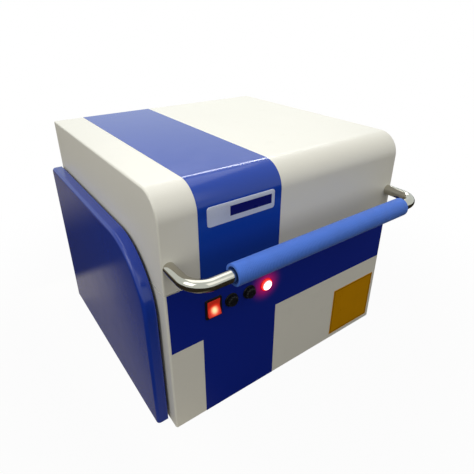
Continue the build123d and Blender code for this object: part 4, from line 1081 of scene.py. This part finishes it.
# ---------------------------------------------------------------- sub-assemblies
@dataclass
class Handle:
    """The bent tube with its foam sleeve."""

    span: float = 0.401
    reach: float = 0.054
    height: float = 0.2805
    bend: float = 0.026
    tube_radius: float = 0.008
    grip_radius: float = 0.014
    grip_length: float = 0.308
    grip_middle: float = 0.005
    bore_radius: float = 0.0102
    bore_depth: float = 0.006
    bore_gap: float = 0.0001
    rim: float = 0.0022
    lump_size: float = 0.03
    lump_depth: float = 0.0004
    tube_sides: int = 48
    grip_sides: int = 72
    bend_steps: int = 16
    rim_steps: int = 4
    grip_cuts: int = 90
    grip_angle: float = 50.0

    def at_right_foot(self, edge: bmesh.types.BMEdge) -> bool:
        """Whether an edge runs round the tube's open end on the right, seen from the left foot."""
        return edge.is_boundary and edge.verts[0].co.x > self.span / 2

    def at_left_foot(self, edge: bmesh.types.BMEdge) -> bool:
        """Whether an edge runs round the tube's open end on the left."""
        return edge.is_boundary and not self.at_right_foot(edge)

    def tube(self) -> None:
        """Bends the tube: one circle drawn out, spun round each bend and drawn out again."""
        foot = Vector((-self.span / 2, FRONT_Y, self.height))
        leg = self.reach - self.bend
        bar = self.span - 2 * self.bend
        piece = Piece.start(
            "handle_bar", "circle", vertices=self.tube_sides, radius=self.tube_radius,
            fill_type="NOTHING", location=foot, rotation=(math.pi / 2, 0, 0),
        )
        piece.edit(Kind.EDGE, lambda edge: True)
        draw_out((0, -leg, 0))
        centre = foot + Vector((self.bend, -leg, 0))
        for way in ((bar, 0, 0), (0, leg, 0)):
            bpy.ops.mesh.spin(
                steps=self.bend_steps, angle=-math.pi / 2, center=centre, axis=(0, 0, 1)
            )
            draw_out(way)
            centre = centre + Vector((bar, 0, 0))
        for at_foot in (self.at_left_foot, self.at_right_foot):
            piece.edit(Kind.EDGE, at_foot)
            draw_out((0, 0, 0))
            bpy.ops.mesh.merge(type="CENTER")
        piece.done()
        piece.settle("hood", STAINLESS, ["handle_tube"], turned=True)

    def at_end(self, face: bmesh.types.BMFace) -> bool:
        """Whether a face of the sleeve lies in one of its ends."""
        return abs(abs(face.calc_center_median().z) - self.grip_length / 2) < CLOSE

    def in_low_end(self, face: bmesh.types.BMFace) -> bool:
        """Whether a face is the round middle of the sleeve's lower end."""
        return self.at_end(face) and len(face.verts) > 4 and face.calc_center_median().z < 0

    def in_high_end(self, face: bmesh.types.BMFace) -> bool:
        """Whether a face is the round middle of the sleeve's upper end."""
        return self.at_end(face) and len(face.verts) > 4 and face.calc_center_median().z > 0

    def on_rim(self, edge: bmesh.types.BMEdge) -> bool:
        """Whether an edge runs round one of the sleeve's ends, outside or in the bore."""
        radii = [point.co.xy.length for point in edge.verts]
        ends = [abs(abs(point.co.z) - self.grip_length / 2) < CLOSE for point in edge.verts]
        return all(ends) and min(radii) > self.bore_radius - 10 * CLOSE and (
            abs(radii[0] - radii[1]) < CLOSE
        )

    def grip(self) -> None:
        """Turns the sleeve: open at its ends, with rounded rims and a faint unevenness."""
        piece = Piece.start(
            "foam_grip", "cylinder", vertices=self.grip_sides, radius=self.grip_radius,
            depth=self.grip_length, rotation=(0, math.pi / 2, 0),
            location=(self.grip_middle, FRONT_Y - self.reach, self.height),
        )
        piece.edit(Kind.FACE, self.at_end)
        bpy.ops.mesh.inset(thickness=self.grip_radius - self.bore_radius, depth=0)
        for side, in_end in ((-1, self.in_low_end), (1, self.in_high_end)):
            piece.edit(Kind.FACE, in_end)
            draw_out((-side * self.bore_depth, 0, 0))
            inset = self.bore_radius - self.tube_radius - self.bore_gap
            bpy.ops.mesh.inset(thickness=inset, depth=0)
        piece.edit(Kind.FACE, lambda face: len(face.verts) > 4)
        bpy.ops.mesh.delete(type="ONLY_FACE")
        piece.edit(Kind.EDGE, lambda edge: edge.is_boundary)
        bpy.ops.mesh.bridge_edge_loops()
        piece.edit(Kind.EDGE, self.on_rim)
        bpy.ops.mesh.bevel(
            offset=self.rim, segments=self.rim_steps, affect="EDGES", clamp_overlap=True
        )
        piece.edit(Kind.EDGE, lambda edge: edge.calc_length() > self.grip_length / 2)
        bpy.ops.mesh.subdivide(number_cuts=self.grip_cuts)
        piece.done()
        lumps = bpy.data.textures.new("foam_lumps", "CLOUDS")
        lumps.noise_scale = self.lump_size
        piece.shape(
            "DISPLACE", texture=lumps, texture_coords="LOCAL", strength=self.lump_depth,
            mid_level=1.0,
        )
        piece.settle(
            "hood", FOAM, ["handle_grip"], angle=self.grip_angle, turned=True
        )

    def build(self) -> None:
        """Makes the tube and the sleeve."""
        self.tube()
        self.grip()
        for node in ("handle_inserts", "handle_bolts"):
            dress(node, PLATED)
        log.info("handle: tube and sleeve made")


@dataclass
class Nameplate:
    """The blank plate on the hood's band, with its dark panel."""

    middle: Place = (-0.097, FRONT_Y, 0.329)
    width: float = 0.102
    height: float = 0.026
    edge: float = 0.0003
    inlay_left: float = 0.32
    inlay_right: float = 0.95
    inlay_bottom: float = 0.28
    inlay_top: float = 0.78
    inlay_cuts: int = 14
    inlay_thickness: float = 0.00006
    lift: float = 0.00008
    stand: float = 0.006

    def build(self) -> None:
        """Rounds the plate's edges and lays the panel on its curve."""
        left = self.middle[0] - self.width / 2
        bottom = self.middle[2] - self.height / 2
        size_x = self.width * (self.inlay_right - self.inlay_left)
        size_z = self.height * (self.inlay_top - self.inlay_bottom)
        place = (
            left + self.width * (self.inlay_left + self.inlay_right) / 2,
            self.middle[1] - self.stand,
            bottom + self.height * (self.inlay_bottom + self.inlay_top) / 2,
        )
        panel = Piece.start(
            "nameplate_inlay", "plane", size=1.0, location=place, rotation=(math.pi / 2, 0, 0)
        )
        panel.object.scale = (size_x, size_z, 1.0)
        panel.fix()
        panel.edit(Kind.FACE, lambda face: True)
        bpy.ops.mesh.subdivide(number_cuts=self.inlay_cuts)
        panel.done()
        panel.shape(
            "SHRINKWRAP", target=frame["nodes"]["nameplate"], wrap_method="PROJECT",
            use_project_x=False, use_project_y=True, use_project_z=False,
            use_positive_direction=True, use_negative_direction=True, offset=self.lift,
        )
        panel.shape("SOLIDIFY", thickness=self.inlay_thickness, offset=-1.0)
        panel.settle("hood", INLAY)
        smooth("nameplate", NAMEPLATE, self.edge)
        log.info("nameplate: plate and inlay made")


@dataclass
class Screws:
    """Pan-head screws with a cross recess, in place of the plain heads."""

    head_radius: float = 0.00375
    head_height: float = 0.0024
    shank_radius: float = 0.002
    reach: float = 0.006
    sides: int = 32
    dome: float = 0.7
    dome_steps: int = 5
    cross: Place = (1.2, 0.27, 1.1)
    cross_taper: float = 0.45
    most_turn: float = 1.5

    def blade(self, turn: float) -> Piece:
        """One bar of the cross, narrower towards its lower end.

        Args:
            turn: how far it is turned about the screw, in radians.

        Returns:
            The cutter.
        """
        top = (0, 0, self.head_height)
        blade = Piece.start("blade", "cube", size=1.0, location=top, rotation=(0, 0, turn))
        length, width, depth = self.cross
        blade.object.scale = (
            self.head_radius * length, self.head_radius * width, self.head_height * depth
        )
        blade.fix()
        blade.edit(Kind.FACE, faces_down)
        bpy.ops.transform.resize(
            value=(self.cross_taper, self.cross_taper, 1.0), center_override=top
        )
        blade.done()
        return blade

    def pattern(self) -> Piece:
        """One screw at the origin, its head towards +Z."""
        screw = Piece.start(
            "screw", "cylinder", vertices=self.sides, radius=self.head_radius,
            depth=self.head_height, location=(0, 0, self.head_height / 2),
        )
        screw.fix()
        top = self.head_height
        screw.edit(Kind.EDGE, lambda edge: all(abs(v.co.z - top) < CLOSE for v in edge.verts))
        bpy.ops.mesh.bevel(offset=top * self.dome, segments=self.dome_steps, affect="EDGES")
        screw.edit(Kind.FACE, faces_down)
        bpy.ops.mesh.inset(thickness=self.head_radius - self.shank_radius, depth=0)
        draw_out((0, 0, -self.reach))
        screw.done()
        for turn in (0.0, math.pi / 2):
            blade = self.blade(turn)
            screw.shape("BOOLEAN", object=blade.object, operation="DIFFERENCE", solver="EXACT")
            blade.remove()
        return screw

    def drive(
        self, name: str, body: str, places: Sequence[Place], tilt: float = -math.pi / 2,
        replaced: Sequence[str] = (),
    ) -> None:
        """Puts a screw at each place.

        Args:
            name: the piece's name.
            body: the body that they ride on.
            places: where each head seats.
            tilt: turn about X that aims the heads: a quarter back for the rear, 0 for upwards.
            replaced: CAD nodes that the screws stand for.
        """
        pattern = self.pattern()
        turns = random.Random(name)
        made = []
        for place in places:
            turn = turns.uniform(0.0, self.most_turn)
            spin = Matrix.Rotation(tilt, 3, "X") @ Matrix.Rotation(turn, 3, "Z")
            made.append(pattern.placed(name, place, tuple(spin.to_euler())))
        pattern.remove()
        made[0].join(made[1:])
        made[0].object.name = name
        made[0].settle(body, PLATED, replaced)


@dataclass
class Hinges:
    """Both hinges, with their screws."""

    x: float = 0.130
    pitch: float = 0.036
    drop: float = 0.021
    z: float = 0.24375
    seat: float = 0.23085
    edge: float = 0.0004

    def build(self) -> None:
        """Rounds the leaves and drives the screws."""
        for node in ("hinge_leaves_base", "hinge_leaves_lid", "hinge_pins"):
            smooth(node, SATIN, self.edge)
        columns = [s * self.x + e * self.pitch / 2 for s in (-1, 1) for e in (-1, 1)]
        for node, body, side in (
            ("hinge_screws_base", "cabinet", -1), ("hinge_screws_lid", "hood", 1),
        ):
            places = [(x, self.seat, self.z + side * self.drop) for x in columns]
            Screws().drive(f"{node}_cross", body, places, replaced=[node])
        log.info("hinges: leaves, pins and screws made")


@dataclass
class Rear:
    """Rear panel with its fan, guard, mains inlet, data port and screws."""

    fan_middle: Span = (-0.095, 0.112)
    guard_y: float = 0.23135
    rings: tuple[float, ...] = (0.037, 0.027, 0.017)
    wire: float = 0.00098
    ring_steps: int = 72
    wire_sides: int = 12
    hub_radius: float = 0.0085
    hub_sides: int = 40
    hub_edge: float = 0.0007
    lug_pitch: float = 0.0715
    lug_radius: float = 0.0045
    lug_sides: int = 32
    lug_edge: float = 0.0005
    panel_seat: float = 0.23035
    panel_half: Span = (0.165, 0.080)
    inlet_middle: Span = (0.115, 0.074)
    inlet_seat: float = 0.23285
    inlet_pitch: float = 0.040
    inlet_edge: float = 0.0003
    frame_edge: float = 0.0004
    usb_middle: Span = (0.115, 0.140)
    usb_seat: float = 0.23185
    usb_pitch: float = 0.0225

    def guard(self) -> None:
        """Bends the fan's guard from round wire: rings, spokes, hub and lugs."""
        x, z = self.fan_middle
        facing = (math.pi / 2, 0, 0)
        parts = [
            Piece.start(
                "ring", "torus", major_radius=radius, minor_radius=self.wire,
                major_segments=self.ring_steps, minor_segments=self.wire_sides,
                location=(x, self.guard_y, z), rotation=facing,
            )
            for radius in self.rings
        ]
        for turn in (math.pi / 4, 3 * math.pi / 4):
            parts.append(
                Piece.start(
                    "spoke", "cylinder", vertices=self.wire_sides, radius=self.wire,
                    depth=self.lug_pitch * 2**0.5, location=(x, self.guard_y, z),
                    rotation=(0, turn, 0),
                )
            )
        hub = Piece.start(
            "hub", "cylinder", vertices=self.hub_sides, radius=self.hub_radius,
            depth=2 * self.wire, location=(x, self.guard_y, z), rotation=facing,
        )
        parts.append(hub.soften(self.hub_edge, 3))
        half = self.lug_pitch / 2
        corners = [(x + sx * half, z + sz * half) for sx in (-1, 1) for sz in (-1, 1)]
        for lug_x, lug_z in corners:
            lug = Piece.start(
                "lug", "cylinder", vertices=self.lug_sides, radius=self.lug_radius,
                depth=2 * self.wire, location=(lug_x, self.guard_y, lug_z), rotation=facing,
            )
            parts.append(lug.soften(self.lug_edge))
        parts[0].join(parts[1:])
        parts[0].object.name = "fan_guard_wire"
        parts[0].settle("cabinet", SATIN, ["fan_guard"])
        seats = [(lug_x, self.guard_y + self.wire, lug_z) for lug_x, lug_z in corners]
        screws = Screws(head_radius=0.003, head_height=0.0018, shank_radius=0.0016)
        screws.drive("fan_guard_screws", "cabinet", seats)

    def fasteners(self) -> None:
        """Drives the screws of the panel, the inlet and the port."""
        z = self.fan_middle[1]
        places = [
            (sx * self.panel_half[0], self.panel_seat, z + sz * self.panel_half[1])
            for sx in (-1, 0, 1) for sz in (-1, 1)
        ]
        Screws().drive("rear_panel_screws_cross", "cabinet", places, replaced=["rear_panel_screws"])
        for name, middle, seat, pitch in (
            ("inlet_screws", self.inlet_middle, self.inlet_seat, self.inlet_pitch),
            ("usb_screws", self.usb_middle, self.usb_seat, self.usb_pitch),
        ):
            ends = [(middle[0] + side * pitch / 2, seat, middle[1]) for side in (-1, 1)]
            screws = Screws(head_radius=0.0026, head_height=0.0016, shank_radius=0.0014)
            screws.drive(name, "cabinet", ends)

    def build(self) -> None:
        """Makes the guard and the screws and dresses the rest."""
        self.guard()
        self.fasteners()
        dress("rear_panel", WHITE_PAINT)
        dress("usb_port", PLATED)
        smooth("mains_inlet", BLACK, self.inlet_edge)
        dress("fan_rotor", BLACK)
        smooth("fan_frame", BLACK, self.frame_edge)
        log.info("rear: panel, fan, guard, inlet and port made")


@dataclass
class Cabinet:
    """Cabinet shell, pan, feet and the painted front with its label."""

    foot_edge: float = 0.0006

    def build(self) -> None:
        """Dresses the cabinet."""
        smooth("cabinet_shell", WHITE_PAINT)
        smooth("feet", RUBBER, self.foot_edge)
        # the front band takes the darker copy of the blue: painted shade, plus a painted red glow of
        # the pilot lamp
        dress("front_stripe", BLUE_PAINT_PAINTED_SHADE_AND_GLOW)
        dress("label_plate", AMBER)
        for node in ("chassis_pan", "foot_screws"):
            dress(node, PLATED)
        log.info("cabinet: shell, pan, feet, band and label dressed")


@dataclass
class SidePanels:
    """The two moulded panels on their bosses."""

    def build(self) -> None:
        """Dresses the panels and their screws."""
        for side in ("left", "right"):
            smooth(f"side_panel_{side}", BLUE_MOULDING)
        dress("side_panel_screws", PLATED)
        log.info("side panels: two dressed")


@dataclass
class Hood:
    """Hood shell with its band and the shield liner inside."""

    def build(self) -> None:
        """Dresses the hood."""
        smooth("hood_shell", WHITE_PAINT)
        # the hood band takes the lighter copy of the blue, painted light for its lit top
        smooth("hood_stripe", BLUE_PAINT_PAINTED_LIT_COPY)
        dress("shield_liner", LINER_STEEL)
        dress("chamber_lamp", LAMP_WHITE)
        for node in ("liner_screws", "interlock_key"):
            dress(node, PLATED)
        log.info("hood: shell, band and liner dressed")


@dataclass
class Controls:
    """Rocker switch, fuse holders and pilot lamp."""

    bezel_edge: float = 0.0004
    button_edge: float = 0.0007
    flange_edge: float = 0.0003
    cap_edge: float = 0.0002

    def build(self) -> None:
        """Rounds and dresses the controls."""
        smooth("rocker_housing", BLACK, self.bezel_edge)
        smooth("rocker_button", RED_ROCKER, self.button_edge, 3)
        smooth("fuse_holders", BLACK, self.flange_edge)
        for side in ("left", "right"):
            smooth(f"fuse_cap_{side}", BLACK, self.cap_edge)
        # the black bezel's red glow is painted light of the lamp
        smooth("lamp_bezel", BEZEL_PAINTED_GLOW, self.flange_edge)
        smooth("lamp_lens", RED_LENS)
        dress("panel_nuts", PLATED)
        log.info("controls: switch, fuse holders and lamp dressed")


@dataclass
class Chamber:
    """Deck and sample stage under the hood."""

    deck_top: float = 0.246
    screw_x: float = 0.188
    screw_y: float = 0.174
    gasket_edge: float = 0.0006
    plate_edge: float = 0.0002

    def build(self) -> None:
        """Dresses the stage and drives the deck's screws."""
        smooth("chamber_gasket", SEAL, self.gasket_edge)
        smooth("sample_plate", TURNED, self.plate_edge)
        smooth("window_ring", TURNED)
        dress("window_film", WINDOW)
        dress("deck_plate", ANODISED)
        places = [
            (sx * self.screw_x, MIDDLE_Y + sy * self.screw_y, self.deck_top)
            for sx, sy in ((-1, -1), (-1, 0), (-1, 1), (0, -1), (0, 1), (1, -1), (1, 0), (1, 1))
        ]
        screws = Screws(head_radius=0.0034, head_height=0.002, shank_radius=0.0018, reach=0.002)
        screws.drive("deck_screws", "cabinet", places, tilt=0.0)
        log.info("chamber: deck, gasket and stage made")


@dataclass
class Inside:
    """What works under the deck."""

    finishes: dict[str, Finish] = field(
        default_factory=lambda: {
            "interlock_switch": BLACK, "measuring_head": ANODISED, "detector": ANODISED,
            "detector_preamp": ANODISED, "camera": BLACK, "filter_wheel": ANODISED,
            "filter_foils": BRASS, "filter_motor": BLACK, "motor_pedestal": PLATED,
            "xray_tube": TUBE_PAINT, "tube_saddles": ANODISED, "optics_bench": ANODISED,
            "hv_supply": TUBE_PAINT, "power_supply": PLATED, "pulse_board": BOARD,
        }
    )

    def build(self) -> None:
        """Dresses the working parts."""
        for node, finish in self.finishes.items():
            dress(node, finish)
        log.info("inside: %d nodes dressed", len(self.finishes))


def main() -> None:
    """Builds the studio and every sub-assembly."""
    Studio().build()
    for part in (
        Cabinet(), SidePanels(), Hood(), Nameplate(), Handle(), Controls(), Hinges(), Chamber(),
        Inside(), Rear(),
    ):
        part.build()


if __name__ == "__main__":
    logging.basicConfig(level=logging.INFO, format="%(message)s")
    main()
